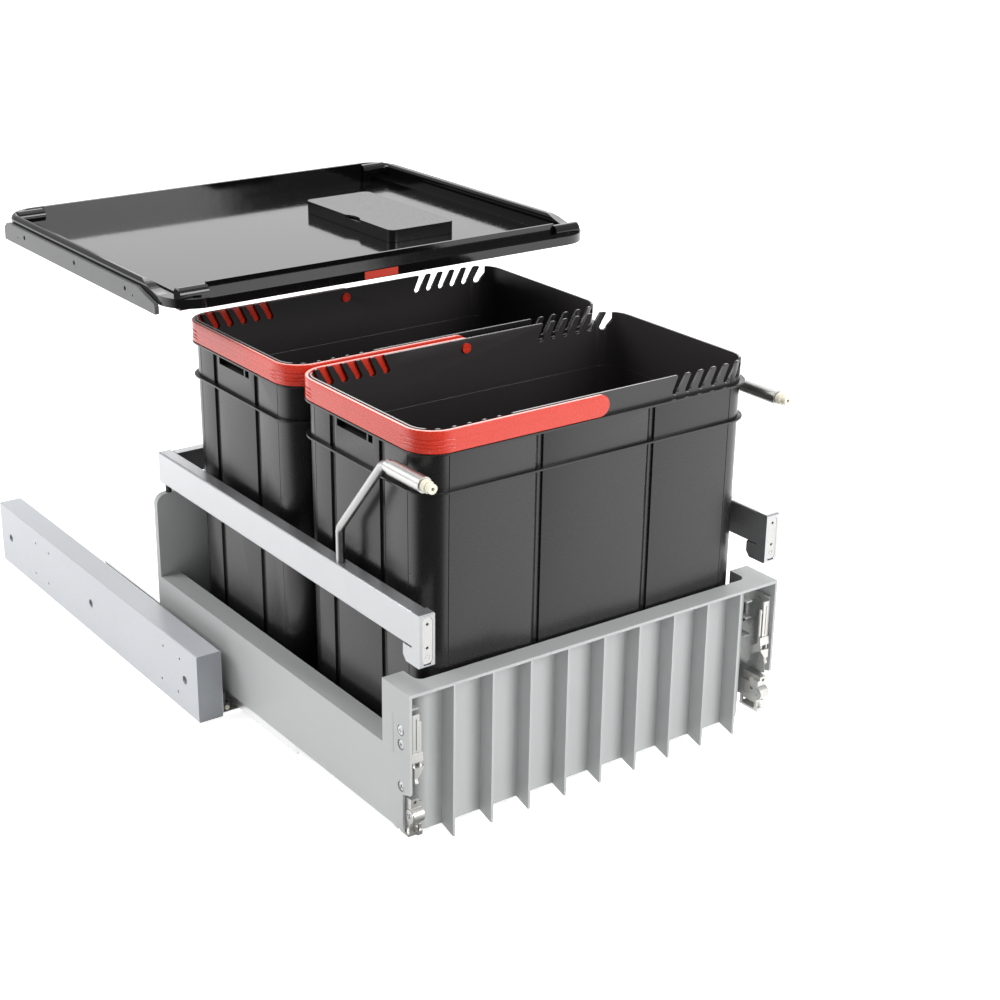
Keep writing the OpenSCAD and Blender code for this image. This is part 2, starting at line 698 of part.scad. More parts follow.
module rod_arc(a) translate([-rod_bend, 0, 0])
  rotate_extrude(angle = a) translate([rod_bend, 0]) circle(rod_r + 0.12);
module rod_after(a) translate([-rod_bend, 0, 0]) rotate([0, 0, a]) translate([rod_bend, 0, 0]) children();
module rod_run(len, before = 1, after = 1)
  translate([0, -before, 0]) rotate([-90, 0, 0]) cylinder(r = rod_r, h = len + before + after);

module stay_rod() color(STEEL)
  translate([-rail_mid, rod_y, rail_z + rail_h - 24]) rotate([90, 0, 90]) {
    rod_run(54, 0);
    translate([0, 54, 0]) {
      rod_arc(rod_lean);
      rod_after(rod_lean) {
        rod_run(rod_slant);
        translate([0, rod_slant, 0]) {
          rod_arc(90 - rod_lean);
          rod_after(90 - rod_lean) rod_run(20, 1, 0);
        }
      }
    }
  }

module stay_sleeve() color(STEEL) translate([-rail_mid, 0, sleeve_z]) difference() {
  union() {
    bar_y(sleeve_y, sleeve_len - 8, sleeve_r);
    bar_y(sleeve_y, sleeve_len, sleeve_r - 1.4);
  }
  bar_y(sleeve_y + 26, sleeve_len, rod_r + 0.1);
  bar_y(sleeve_y - 1, 24, pin_r + 0.5 + run);
}

module stay_tip() color(WHITE) translate([-rail_mid, 0, sleeve_z]) difference() {
  union() {
    bar_y(tip_y + 6.5, sleeve_y - tip_y - 6.9, 6.2);
    bar_y(tip_y, 8, 5);
    bar_y(sleeve_y - 2, 16, pin_r + 0.5);
  }
  bar_y(tip_y - 1, 9, 1.7);
}

// Bins

module bin_shell(grow, z0, z1) hull() {
  t0 = bin_draft * (rim_z - z0) / bin_h;
  t1 = bin_draft * (rim_z - z1) / bin_h;
  slab(bin_w - 2 * t0 + 2 * grow, bin_d - 2 * t0 + 2 * grow, bin_r - t0 / 2 + grow, z0, z0 + 0.01, $fn = 32);
  slab(bin_w - 2 * t1 + 2 * grow, bin_d - 2 * t1 + 2 * grow, bin_r - t1 / 2 + grow, z1 - 0.01, z1, $fn = 32);
}

// slots of the rim comb: wedges leaning to the corner, with round feet and
// round teeth between them
comb_lean = 0.53;
comb_flare = 0.07;
comb_tip = 2.2;
module comb_slot() {
  h = comb_h - comb_tip;
  w = comb_r + comb_flare * h;
  polygon(concat(
    [for (a = [180 : 22.5 : 360]) comb_r * [cos(a), sin(a)]],
    [for (a = [0 : 22.5 : 90]) [comb_lean * (h + comb_tip * sin(a)) + w + comb_tip * (1 - cos(a)),
      h + comb_tip * sin(a)]],
    [[comb_lean * comb_h + w + comb_tip, comb_h + 3], [comb_lean * comb_h - w - comb_tip, comb_h + 3]],
    [for (a = [90 : -22.5 : 0]) [comb_lean * (h + comb_tip * sin(a)) - w - comb_tip * (1 - cos(a)),
      h + comb_tip * sin(a)]]));
}
module comb() for (m = [0, 1]) mirror([m, 0, 0]) for (i = [0 : 5])
  along_y(-bin_d / 2 - 10, bin_d + 20)
    translate([bin_w / 2 - comb_start + i * comb_pitch, rim_z - comb_h]) comb_slot();

// vertical grooves in the walls, grown by a wall's thickness where the inside bulges round them
module bin_grooves(grow = 0) {
  h = rim_z - ring_drop + 34 - bin_z;
  z = bin_z + 4 + h / 2;
  deep = 2 * (groove + grow) + bin_draft;
  for (x = [-1, 1], s = [-1, 1]) translate([x * front_gap / 2, s * bin_d / 2, z])
    cube([groove_w + 2 * grow, deep, h + 2 * grow], center = true);
  for (y = [-1, 1], s = [-1, 1]) translate([s * bin_w / 2, y * groove_gap / 2 + groove_shift, z])
    cube([deep, groove_w + 2 * grow, h + 2 * grow], center = true);
}

// grip pocket on the left wall, open at the top, and its twin on the right
module grips() for (m = [0, 1]) mirror([m, 0, 0])
  translate([-bin_w / 2, 11 - grip_len / 2, band_z - 22]) difference() {
    translate([-4, 0, 0]) cube([5, grip_len, 20]);
    translate([-2.6, 1.6, 1.6]) cube([2.6, grip_len - 3.2, 20]);
    translate([-5, 4, 5]) cube([4, grip_len - 8, 20]);
  }

module bin(yc) color(BLACK) translate([0, yc, 0]) difference() {
  union() {
    difference() {
      bin_shell(0, bin_z, rim_z);
      bin_grooves();
    }
    slab(bin_w + 2 * ledge, bin_d + 2 * ledge, bin_r + ledge, band_z - slip - 2.2, band_z - slip);
    slab(bin_w + 2 * ring, bin_d + 2 * ring, bin_r + ring, rim_z - ring_drop - 2.2, rim_z - ring_drop);
    grips();
  }
  difference() {
    bin_shell(-bin_wall, bin_z + bin_wall, rim_z + 1);
    bin_grooves(bin_wall);
  }
  comb();
  translate([0, 0, pivot_z]) bar_y(-bin_d, 2 * bin_d, pin_r + run);
}

// Bail handles

module band_ring(z0, z1) difference() {
  g = 2 * (band_gap + band_t);
  slab(bin_w + g, bin_d + g, bin_r + g / 2, z0, z1);
  slab(bin_w + 2 * band_gap, bin_d + 2 * band_gap, bin_r + band_gap, z0 - 1, z1 + 1);
}

module handle(yc) color(RED) translate([0, yc, 0]) difference() {
  union() {
    difference() {
      band_ring(band_z, band_z + band_h);
      translate([0, -bin_d, band_z - 1]) cube([bin_w, 2 * bin_d, band_h + 2]);
    }
    intersection() {
      band_ring(band_z, band_z + band_h);
      translate([0, 0, pivot_z]) bar_y(-bin_d, 2 * bin_d, band_h / 2);
    }
  }
  translate([0, 0, pivot_z]) bar_y(-bin_d, 2 * bin_d, pin_r + 0.02);
}

module handle_pins(yc) color(RED) translate([0, yc, pivot_z])
  for (a = [0, 180]) rotate([0, 0, a]) difference() {
    y1 = bin_d / 2 + band_gap + band_t - 0.4;
    y0 = bin_d / 2 - bin_wall - 0.9;
    union() {
      bar_y(y0, y1 - y0, pin_r);
      bar_y(y0 - 1.8, 2, 5.4);
    }
    translate([-4, y0 - 2.8, -0.7]) cube([8, 2, 1.4]);
  }

// Lid

module lid_bracket() color(DARK) difference() {
  y1 = bracket_y + bracket_len;
  union() {
    along_x(-half_cab, bracket_t) polygon([[bracket_y, lid_z], [y1, lid_z],
      [y1, lid_z + lid_h - 5], [y1 - 8, lid_z + lid_h + 1], [bracket_y + 42, lid_z + lid_h + 1],
      [bracket_y + 2, lid_z + 11], [bracket_y, lid_z + 8]]);
    translate([-half_cab, bracket_y + 50, skirt_z - slip - 2]) cube([bracket_t + 7, bracket_len - 60, 2]);
  }
  for (y = bracket_holes) translate([-half_cab - 1, bracket_y + y, lid_z + 12.9]) bar_x(0, bracket_t + 2, 2.6);
  for (y = [52, bracket_len - 40]) translate([-half_cab - 1, bracket_y + y, lid_z + 9])
    bar_x(0, bracket_t + 2, 1.2);
}

bracket_holes = [70, bracket_len / 2, bracket_len - 60];

// sweeps a section round the lid's edge: x is the way in from the edge, y is the height
module edge_sweep() {
  a = tray_w / 2 - lid_r;
  b = lid_d / 2 - lid_r;
  for (m = [0, 1]) mirror([m, 0, 0]) {
    along_y(-b, 2 * b) translate([tray_w / 2, 0]) mirror([1, 0]) children();
    for (n = [0, 1]) mirror([0, n, 0]) translate([a, b, 0])
      rotate_extrude(angle = 90) translate([lid_r, 0]) mirror([1, 0]) children();
  }
  for (n = [0, 1]) mirror([0, n, 0]) along_x(-a, 2 * a) translate([lid_d / 2, 0]) mirror([1, 0]) children();
}

// rounded bead over a hollow skirt
module bead_section() {
  h = bead_w / 2;
  polygon(concat([[2.4, skirt_z], [0, skirt_z]],
    [for (a = [0 : 18 : 180]) [h - h * cos(a), bead_top - h + h * sin(a)]],
    [[bead_w, skirt_z], [bead_w - 2.4, skirt_z], [bead_w - 2.4, lid_top - 3], [2.4, lid_top - 3]]));
}

// what is above the front rim and its curved rise to the side beads
module bead_step() along_x(-tray_w, 2 * tray_w) {
  y0 = -lid_d / 2 + lid_r;
  n = 12;
  polygon(concat([for (i = [0 : n]) [y0 + 50 * i / n, lid_top + bead_rise * (1 - cos(180 * i / n)) / 2]],
    [[y0 + 50, bead_top + 9], [-lid_d, bead_top + 9], [-lid_d, lid_top]]));
}

// stepped ledge at the front, lower trough at the rear
module ledges() for (s = [-1, 1]) intersection() {
  slab(tray_w - 2 * bead_w + 2, lid_d - 2 * bead_w + 2, lid_r - bead_w + 1, skirt_z, bead_top);
  translate([-tray_w / 2, s > 0 ? lid_d / 2 - lip_in : -lid_d / 2, lid_top - (s > 0 ? 6 : 1.5)])
    cube([tray_w, lip_in, 3]);
}

module lips() for (s = [-1, 1]) {
  y = s * (lid_d / 2 - lip_in);
  e = tray_w / 2 - bead_w - boss_len - 1.5;
  translate([-e, y - lip_t / 2, plate_z - plate_t]) cube([2 * e, lip_t, lip_top - plate_z + plate_t]);
  for (m = [-1, 1]) {
    x = m * (e + boss_len / 2);
    translate([x, y, lid_top + 2]) bar_x(-boss_len / 2, boss_len, boss_r);
    translate([x - boss_len / 2, y - 5, plate_z - plate_t]) cube([boss_len, 10, lid_top + 2 - plate_z]);
  }
}

module lid_tray() place() color(BLACK) translate([0, lid_y + lid_d / 2, 0]) difference() {
  union() {
    difference() {
      edge_sweep() bead_section();
      bead_step();
    }
    difference() {
      slab(tray_w - 2 * bead_w + 2, lid_d - 2 * bead_w + 2, lid_r - bead_w + 1, skirt_z, skirt_z + 3);
      slab(tray_w - 2 * plate_in, lid_d - 2 * lip_in, 4, skirt_z - 1, skirt_z + 4);
    }
    ledges();
    lips();
    difference() {
      slab(tray_w - 2 * plate_in + 5, lid_d - 2 * lip_in + 2, 5, plate_z - plate_t, skirt_z + 4.6);
      slab(tray_w - 2 * plate_in, lid_d - 2 * lip_in - lip_t, 3, plate_z, skirt_z + 6);
    }
  }
  translate([cover_x, cover_y + cover_len / 2 - lid_y - lid_d / 2, plate_z - 1.4])
    slab(cover_w - 14, cover_len - 14, 8, 0, 3);
  translate([tag_x - tag_w / 2, -lid_d / 2 - 1, skirt_z + 0.6]) cube([tag_w, 1.8, tag_h]);
}

module lid_tag() place() color(RED)
  translate([tag_x - tag_w / 2 + slip, lid_y - 0.5, skirt_z + 0.6 + slip])
    cube([tag_w - 2 * slip, 1.2, tag_h - 2 * slip]);

module filter_pad() place() color(DARK)
  translate([cover_x, cover_y + cover_len / 2, 0])
    slab(cover_w - 15, cover_len - 15, 7.5, plate_z - 1.4, plate_z + cover_h - 4);

module filter_cover() place() color(BLACK) translate([cover_x, cover_y + cover_len / 2, 0]) difference() {
  slab(cover_w, cover_len, 9, cover_z, cover_z + cover_h);
  slab(cover_w - 5, cover_len - 5, 6.5, cover_z - 1, cover_z + cover_h - 2);
  translate([-cover_w / 2 - 20, -14, cover_z + cover_h - 3.4])
    cylinder(r = 26, h = 5);
}

// Named pieces

module left_spacer_board() side() board();
module right_spacer_board() side(true) board();
module left_cabinet_rail() side() cabinet_rail();
module right_cabinet_rail() side(true) cabinet_rail();
module left_rail_screws() side() rail_screws();
module right_rail_screws() side(true) rail_screws();
module left_rail_bracket() side() rail_bracket();
module right_rail_bracket() side(true) rail_bracket();
module left_rail_buffer() side() rail_buffer();
module right_rail_buffer() side(true) rail_buffer();
module left_lower_cage() side() lower_cage();
module right_lower_cage() side(true) lower_cage();
module left_middle_rail() side() middle_rail();
module right_middle_rail() side(true) middle_rail();
module left_upper_cage() side() upper_cage();
module right_upper_cage() side(true) upper_cage();
module left_runner() side() runner();
module right_runner() side(true) runner();
module left_runner_screws() side() runner_screws();
module right_runner_screws() side(true) runner_screws();
module left_gallery_rail() side() gallery_rail();
module right_gallery_rail() side(true) gallery_rail();
module left_front_cap() side() front_cap();
module right_front_cap() side(true) front_cap();
module left_cap_insert() side() cap_insert();
module right_cap_insert() side(true) cap_insert();
module left_rear_post() side() rear_post();
module right_rear_post() side(true) rear_post();
module left_stay_rod() side() stay_rod();
module right_stay_rod() side(true) stay_rod();
module left_stay_sleeve() side() stay_sleeve();
module right_stay_sleeve() side(true) stay_sleeve();
module left_stay_tip() side() stay_tip();
module right_stay_tip() side(true) stay_tip();
module left_fixing_plate() side() fixing_plate();
module right_fixing_plate() side(true) fixing_plate();
module left_lock_lever() side() lock_lever();
module right_lock_lever() side(true) lock_lever();
module left_adjuster_block() side() adjuster_block();
module right_adjuster_block() side(true) adjuster_block();
module left_adjuster_screw() side() adjuster_screw();
module right_adjuster_screw() side(true) adjuster_screw();
module left_side_screws() side() side_screws();
module right_side_screws() side(true) side_screws();
module front_bin() place() bin(bin_c1);
module rear_bin() place() bin(bin_c2);
module front_handle() place() handle(bin_c1);
module rear_handle() place() handle(bin_c2);
module front_handle_pins() place() handle_pins(bin_c1);
module rear_handle_pins() place() handle_pins(bin_c2);
module left_lid_bracket() side() lid_bracket();
module right_lid_bracket() side(true) lid_bracket();

left_spacer_board();
right_spacer_board();
left_cabinet_rail();
right_cabinet_rail();
left_rail_screws();
right_rail_screws();
left_rail_bracket();
right_rail_bracket();
left_rail_buffer();
right_rail_buffer();
left_lower_cage();
right_lower_cage();
left_middle_rail();
right_middle_rail();
left_upper_cage();
right_upper_cage();
left_runner();
right_runner();
left_runner_screws();
right_runner_screws();
carrier_frame();
left_gallery_rail();
right_gallery_rail();
left_front_cap();
right_front_cap();
left_cap_insert();
right_cap_insert();
rear_cross_rail();
left_rear_post();
right_rear_post();
left_stay_rod();
right_stay_rod();
left_stay_sleeve();
right_stay_sleeve();
left_stay_tip();
right_stay_tip();
left_fixing_plate();
right_fixing_plate();
left_lock_lever();
right_lock_lever();
left_adjuster_block();
right_adjuster_block();
left_adjuster_screw();
right_adjuster_screw();
left_side_screws();
right_side_screws();
front_bin();
rear_bin();
front_handle();
rear_handle();
front_handle_pins();
rear_handle_pins();
left_lid_bracket();
right_lid_bracket();
lid_tray();
lid_tag();
filter_pad();
filter_cover();
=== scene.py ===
# %% [markdown]
# # Dressing a pull-out bin frame
# The CAD model of the bin frame is already exact: every piece sits where it has to be and moves on its joint.
# This lesson gives it the look of the real thing, one finish and one piece at a time. We start by loading the
# imported model as a fixed frame.

# %% Load the frame
import math

import bmesh
import bpy
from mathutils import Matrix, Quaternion, Vector


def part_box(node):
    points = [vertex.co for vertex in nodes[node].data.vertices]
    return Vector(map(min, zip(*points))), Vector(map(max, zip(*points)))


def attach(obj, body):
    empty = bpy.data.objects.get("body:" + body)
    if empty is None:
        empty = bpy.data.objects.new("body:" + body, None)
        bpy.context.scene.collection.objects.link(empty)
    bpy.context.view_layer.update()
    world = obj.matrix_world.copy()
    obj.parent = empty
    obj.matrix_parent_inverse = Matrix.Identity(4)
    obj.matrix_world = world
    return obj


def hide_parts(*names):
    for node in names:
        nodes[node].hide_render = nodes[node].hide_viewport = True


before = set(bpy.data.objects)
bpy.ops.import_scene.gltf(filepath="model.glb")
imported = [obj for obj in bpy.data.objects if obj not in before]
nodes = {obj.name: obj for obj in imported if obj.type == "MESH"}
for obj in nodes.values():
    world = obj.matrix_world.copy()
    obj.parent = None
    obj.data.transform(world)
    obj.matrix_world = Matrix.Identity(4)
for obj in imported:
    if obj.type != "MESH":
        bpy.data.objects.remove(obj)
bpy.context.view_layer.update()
print("pieces in the frame:", len(nodes))

MM = 0.001

# %% [markdown]
# ## Camera
# A product photograph is usually taken with a short telephoto lens, so that the near corner does not bulge.
# The place, the turn and the lens were solved from corners of the frame, the bins and the boards. The picture is
# a crop in which the lens axis sits left of the middle, and a small sideways shift gives that framing.

# %% Camera
EYE = (-1.11193, -1.76605, 1.0043)
TURN, TILT = -34.28, 21.72        # degrees to the right, and down
camera_data = bpy.data.cameras.new("camera")
camera_data.sensor_width = 36
camera_data.lens = 67.77
camera_data.shift_x = 0.07
camera = bpy.data.objects.new("camera", camera_data)
camera.location = EYE
camera.rotation_euler = (math.radians(90 - TILT), 0, math.radians(TURN))
bpy.context.scene.collection.objects.link(camera)
bpy.context.scene.camera = camera
bpy.context.scene.view_settings.view_transform = "Standard"
print("camera at", EYE)

# %% [markdown]
# ## Colours and nodes
# Colours are noted as sRGB hex values, because that is what a colour picker shows, and one function turns them
# into the linear values that shaders work with. One more function adds a node with its settings and links, which
# keeps every material and the screw tree below readable.


# %% Small helpers
def linear(code):
    """An sRGB hex colour as linear RGBA."""
    values = [int(code[i:i + 2], 16) / 255 for i in (1, 3, 5)]
    return [v / 12.92 if v <= 0.04045 else ((v + 0.055) / 1.055) ** 2.4 for v in values] + [1.0]


def add(tree, kind, links=None, **settings):
    """Adds one node. `links` holds its inputs: a value, or the socket that feeds it."""
    made = tree.nodes.new(kind)
    for key, value in settings.items():
        setattr(made, key, value)
    for key, value in (links or {}).items():
        if isinstance(value, bpy.types.NodeSocket):
            tree.links.new(value, made.inputs[key])
        else:
            made.inputs[key].default_value = value
    return made


def new_material(name):
    """An empty material with its shader and its Object coordinates."""
    material = bpy.data.materials.new(name)
    material.use_nodes = True
    tree = material.node_tree
    tree.nodes.clear()
    shader = add(tree, "ShaderNodeBsdfPrincipled")
    add(tree, "ShaderNodeOutputMaterial", {"Surface": shader.outputs[0]})
    place = add(tree, "ShaderNodeTexCoord").outputs["Object"]
    return material, tree, shader, place


# %% [markdown]
# ## Moulded plastic
# Nearly everything here is injection moulded. The steel mould is spark eroded, which leaves a fine grain in the
# surface, and the plastic flows and shrinks a little unevenly, so that gloss and colour drift over a hand's width.
# Two noise textures do that: a fine one for the grain and a wide one for the drift. Real grain is about 0.2 mm
# wide, too fine for this camera, so it is drawn at 0.8 mm and shallow.
#
# What the eye gets from each finish: the grey ABS is dull and even, so that its ribs read by light and shade alone.
# The black and red polypropylene are satin. Seen at a flat angle they mirror the paper floor, which turns the black
# walls grey and the red band pink, and leaves both deep in colour round the corners. The inside of a bin is drawn
# a lighter black than the outside: painted light on the shaded inside. The tops of the rim and of the band are drawn
# pale: a painted highlight for the thin line that light from above puts there. The lid tray is high gloss and
# mirrors the room like a dark pool.

# %% Moulded plastic
DRIFT_WIDTH = 90 * MM             # how far the colour and the gloss drift


def moulded(name, colour, drift, rough, grain=0.8, depth=0.02, swing=0.05, ior=1.49):
    """Moulded plastic: two colours that drift, a grain in mm, and a roughness that swings."""
    material, tree, shader, place = new_material(name)
    wide = add(tree, "ShaderNodeTexNoise", {"Vector": place, "Scale": 1 / DRIFT_WIDTH, "Detail": 3.0})
    fine = add(tree, "ShaderNodeTexNoise", {"Vector": place, "Scale": 1 / (grain * MM), "Detail": 2.0})
    mix = add(tree, "ShaderNodeMixRGB", {
        "Fac": wide.outputs["Fac"], "Color1": linear(colour), "Color2": linear(drift)})
    gloss = add(tree, "ShaderNodeMapRange", {
        "Value": fine.outputs["Fac"], "From Min": 0.3, "From Max": 0.7,
        "To Min": rough - swing, "To Max": rough + swing})
    bump = add(tree, "ShaderNodeBump", {"Height": fine.outputs["Fac"], "Distance": depth * MM, "Strength": 1.0})
    tree.links.new(mix.outputs[0], shader.inputs["Base Color"])
    tree.links.new(gloss.outputs[0], shader.inputs["Roughness"])
    tree.links.new(bump.outputs[0], shader.inputs["Normal"])
    shader.inputs["IOR"].default_value = ior
    return material


grey_abs = moulded("moulded grey ABS", "#B8BABA", "#B3B5B5", 0.46)
black_pp = moulded("moulded black polypropylene", "#191818", "#161515", 0.30, depth=0.012, ior=1.53)
# painted light: the inside of a bin is drawn a lighter black than the outside
inside_painted_light_pp = moulded("black polypropylene inside painted light", "#2B2829", "#272425", 0.40, depth=0.006, ior=1.5)
# painted highlight: the top of the rim is drawn mid grey for the pale line that light from above draws there
rim_painted_highlight = moulded("black rim painted highlight", "#8A8888", "#848282", 0.22, depth=0.001, ior=1.53)
red_pp = moulded("moulded red polypropylene", "#CC341E", "#C62F1B", 0.27, grain=1.2, depth=0.001, swing=0.02,
                 ior=1.56)
# painted highlight: the top of the band is drawn pale pink for the line that light from above draws there
band_painted_highlight = moulded("red band painted highlight", "#EEA79E", "#EAA096", 0.22, depth=0.001, ior=1.56)
gloss_black = moulded("high gloss black ABS", "#0D0D0E", "#0B0B0C", 0.09, grain=6.0, depth=0.006, swing=0.02)
matt_black = moulded("eroded black ABS", "#262627", "#222223", 0.52, depth=0.05)
satin_black = moulded("satin black ABS", "#191919", "#161616", 0.24, grain=3.0, depth=0.01, swing=0.03)
white_pom = moulded("natural acetal", "#E4E0CF", "#DDD8C5", 0.38, grain=1.5, depth=0.01)
white_abs = moulded("moulded white ABS", "#CACAC8", "#C4C4C1", 0.40, grain=1.2, depth=0.01)
red_tag = moulded("moulded red ABS tag", "#C9402F", "#C13A2A", 0.35, grain=1.2, depth=0.01)
print("plastics:", len(bpy.data.materials))


# %% [markdown]
# ## Coated and plated metal
# The rails and caps wear a silver powder coat: a matt film with small metal flakes and a slight orange peel. It
# looks pale where it faces the room and nearly black where it faces the bins, which is what metal does.
# The fittings are zinc plated or cast zinc and the stays are nickel plated. They take their colour from what they
# mirror, and the roughness decides how far that blurs. Rolled sheet and drawn wire keep fine lines along the way
# they were made, and a noise that is stretched along that way draws them.

# %% Metals
CLOUD_WIDTH = 35 * MM             # how far the tone of a plated surface drifts


def metal(name, colour, rough, metallic=1.0, stretch=(1, 1, 1), grain=0.6, depth=0.01, swing=0.08, tint=None):
    """Metal or metal flake coat: `stretch` holds the pattern's scale along x, y and z."""
    material, tree, shader, place = new_material(name)
    turned = add(tree, "ShaderNodeMapping", {"Vector": place, "Scale": stretch})
    fine = add(tree, "ShaderNodeTexNoise", {
        "Vector": turned.outputs[0], "Scale": 1 / (grain * MM), "Detail": 3.0})
    wide = add(tree, "ShaderNodeTexNoise", {"Vector": place, "Scale": 1 / CLOUD_WIDTH, "Detail": 2.0})
    mix = add(tree, "ShaderNodeMixRGB", {
        "Fac": wide.outputs["Fac"], "Color1": linear(colour), "Color2": linear(tint or colour)})
    gloss = add(tree, "ShaderNodeMapRange", {
        "Value": fine.outputs["Fac"], "From Min": 0.3, "From Max": 0.7,
        "To Min": rough - swing, "To Max": rough + swing})
    bump = add(tree, "ShaderNodeBump", {"Height": fine.outputs["Fac"], "Distance": depth * MM, "Strength": 1.0})
    tree.links.new(mix.outputs[0], shader.inputs["Base Color"])
    tree.links.new(gloss.outputs[0], shader.inputs["Roughness"])
    tree.links.new(bump.outputs[0], shader.inputs["Normal"])
    shader.inputs["Metallic"].default_value = metallic
    return material


silver_coat = metal("silver powder coat", "#BCBDBF", 0.34, metallic=0.8, depth=0.006, tint="#B6B7B9")
nickel = metal("satin nickel plated steel", "#B6B6B6", 0.36, depth=0.002, swing=0.03, tint="#B0AFAE")
sleeve_nickel = metal("nickel plated sleeve", "#C4C4C3", 0.34, depth=0.001, swing=0.02, tint="#BFBEBC")
zinc_sheet = metal("zinc plated sheet", "#D2D3D3", 0.34, metallic=0.8, stretch=(1, 0.1, 1), depth=0.005,
                   tint="#CDCECB")
cast_zinc = metal("cast zinc", "#D4D3D0", 0.34, metallic=0.8, grain=0.9, depth=0.006, tint="#CBCAC6")
dark_coat = metal("dark grey powder coat", "#58595A", 0.42, metallic=0.1, depth=0.02, tint="#525353")
cage_steel = metal("oiled steel strip", "#6E6F70", 0.4, stretch=(1, 0.1, 1))
print("materials:", len(bpy.data.materials))

# %% [markdown]
# ## Laminate and felt
# The spacer boards are faced with a smooth light grey laminate whose film has a soft, pearly texture. Their ends
# are cut with a saw and are drawn darker, which is painted shade, and the direction in which a face looks tells the
# two apart. The odour filter under its cover is a black felt pad.

# %% Laminate and felt
laminate = moulded("light grey laminate", "#C4C7CC", "#BFC2C7", 0.32, grain=1.6, depth=0.005)
tree = laminate.node_tree
film = next(n for n in tree.nodes if n.type == "MIX_RGB")
shader = next(n for n in tree.nodes if n.type == "BSDF_PRINCIPLED")
looks = add(tree, "ShaderNodeSeparateXYZ", {0: add(tree, "ShaderNodeTexCoord").outputs["Normal"]})
lengthways = add(tree, "ShaderNodeMath", {0: looks.outputs["Y"]}, operation="ABSOLUTE")
# painted shade: faces that look along the board, its ends, are drawn darker
painted_shade_end = add(tree, "ShaderNodeMath", {0: lengthways.outputs[0], 1: 0.9}, operation="GREATER_THAN")
board_colour = add(tree, "ShaderNodeMixRGB", {
    "Fac": painted_shade_end.outputs[0], "Color1": film.outputs[0], "Color2": linear("#9CA0A5")})
tree.links.new(board_colour.outputs[0], shader.inputs["Base Color"])
felt = moulded("black filter felt", "#161616", "#1C1C1C", 0.95, grain=1.0, depth=0.3, swing=0.03)

# %% [markdown]
# ## Finishes for the CAD pieces
# Each CAD piece gets its finish here. Bins, handles and side screws are drawn again further down, and all others
# keep their shape. A pattern that reads Object coordinates stays put on the piece when it moves, because a piece
# carries its own coordinates along.

# %% Assign the finishes
FINISH = {
    "spacer_board": laminate, "cabinet_rail": zinc_sheet, "rail_screws": zinc_sheet, "rail_bracket": matt_black,
    "rail_buffer": white_pom, "lower_cage": cage_steel, "middle_rail": zinc_sheet, "upper_cage": cage_steel,
    "runner": zinc_sheet, "runner_screws": zinc_sheet, "carrier_frame": grey_abs, "gallery_rail": silver_coat,
    "front_cap": silver_coat, "cap_insert": white_abs, "rear_cross_rail": silver_coat, "rear_post": matt_black,
    "stay_rod": nickel, "stay_sleeve": sleeve_nickel, "stay_tip": white_pom, "fixing_plate": zinc_sheet,
    "lock_lever": cast_zinc, "adjuster_block": cast_zinc, "adjuster_screw": zinc_sheet,
    "side_screws": zinc_sheet, "front_bin": black_pp, "rear_bin": black_pp, "front_handle": red_pp,
    "rear_handle": red_pp, "front_handle_pins": red_pp, "rear_handle_pins": red_pp, "lid_bracket": dark_coat,
    "lid_tray": gloss_black, "lid_tag": red_tag, "filter_pad": felt, "filter_cover": satin_black,
}
for name, piece in nodes.items():
    finish = FINISH.get(name) or FINISH[name.split("_", 1)[1]]
    piece.data.materials.clear()
    piece.data.materials.append(finish)

# %% [markdown]
# ## The bins
# A bin is one moulding with walls just under 3 mm thick. Its plan is the same rounded rectangle at every height,
# only a little smaller towards the floor so that it leaves the mould. It could be extruded and rounded afterwards,
# but here a grid is laid round the bin: one list holds the points of the plan with their outward direction, another
# holds the levels with how far the wall stands out at each. Grooves and the thin seams beside the corners belong
# to the plan. The ledge under the handle, the ring below it and the flat rim belong to the levels.

# %% Sizes of a bin
BIN_W, BIN_D, BIN_H = 407.6 * MM, 224.4 * MM, 399 * MM
BIN_R, BIN_WALL, DRAFT = 28 * MM, 2.8 * MM, 2 * MM
BIN_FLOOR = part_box("front_bin")[0][2]
RIM = BIN_FLOOR + BIN_H
RING = RIM - 62 * MM               # top of the ring
BAND = RIM - 23 * MM               # lower edge of the handle band
PIVOT = BAND + 13 * MM
GROOVE, GROOVE_W, SEAM = 2.3, 4.5, 0.45     # depth and half width of a groove, depth of a seam, in mm
COMB_TEETH, COMB_DEPTH = 6, 16.4            # slots beside each corner, and how deep they are, in mm
COMB_FIRST, COMB_PITCH = 103.4, 17.1        # first slot from the side wall, and from slot to slot, in mm
RIM_EDGE, BORE_R = 0.5, 3.05                # radius of the rim's edges and of the pivot bores, in mm
BEVEL, WELD = 0.45 * MM, 0.002 * MM         # width of the broken edges, and how close points become one
CORNER_STEPS = 12                           # steps in a quarter turn round a corner
BIN_Y = {side: sum(corner[1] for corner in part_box(side + "_bin")) / 2 for side in ("front", "rear")}
print("rim at", round(RIM, 4), "bins at", {k: round(v, 4) for k, v in BIN_Y.items()})

# %% [markdown]
# ### The plan
# The plan runs round the bin wall by wall. A straight wall has its grooves, which rise slowly on one side and end in
# a step on the other, and a hairline seam where it meets the corner. A corner is a quarter turn in twelve steps.


# %% Plan of a bin
def wall_marks(length, grooves):
    """Places along a straight wall in mm: groove and seam factor. A groove is a place and its steep side."""
    marks = [(0, 0, 0), (0.5, 0, 1), (1.0, 0, 0), (length - 1.0, 0, 0), (length - 0.5, 0, 1), (length, 0, 0)]
    for place, steep in grooves:
        shape = [(-GROOVE_W - 1.2, 0), (-GROOVE_W - 0.6, 0), (-GROOVE_W, 0.06), (-GROOVE_W / 2, 0.6), (0, 1),
                 (GROOVE_W, 1), (GROOVE_W + 0.3, 0), (GROOVE_W + 0.9, 0)]
        marks += [(place + steep * along, depth, 0) for along, depth in shape]
    return sorted(marks)


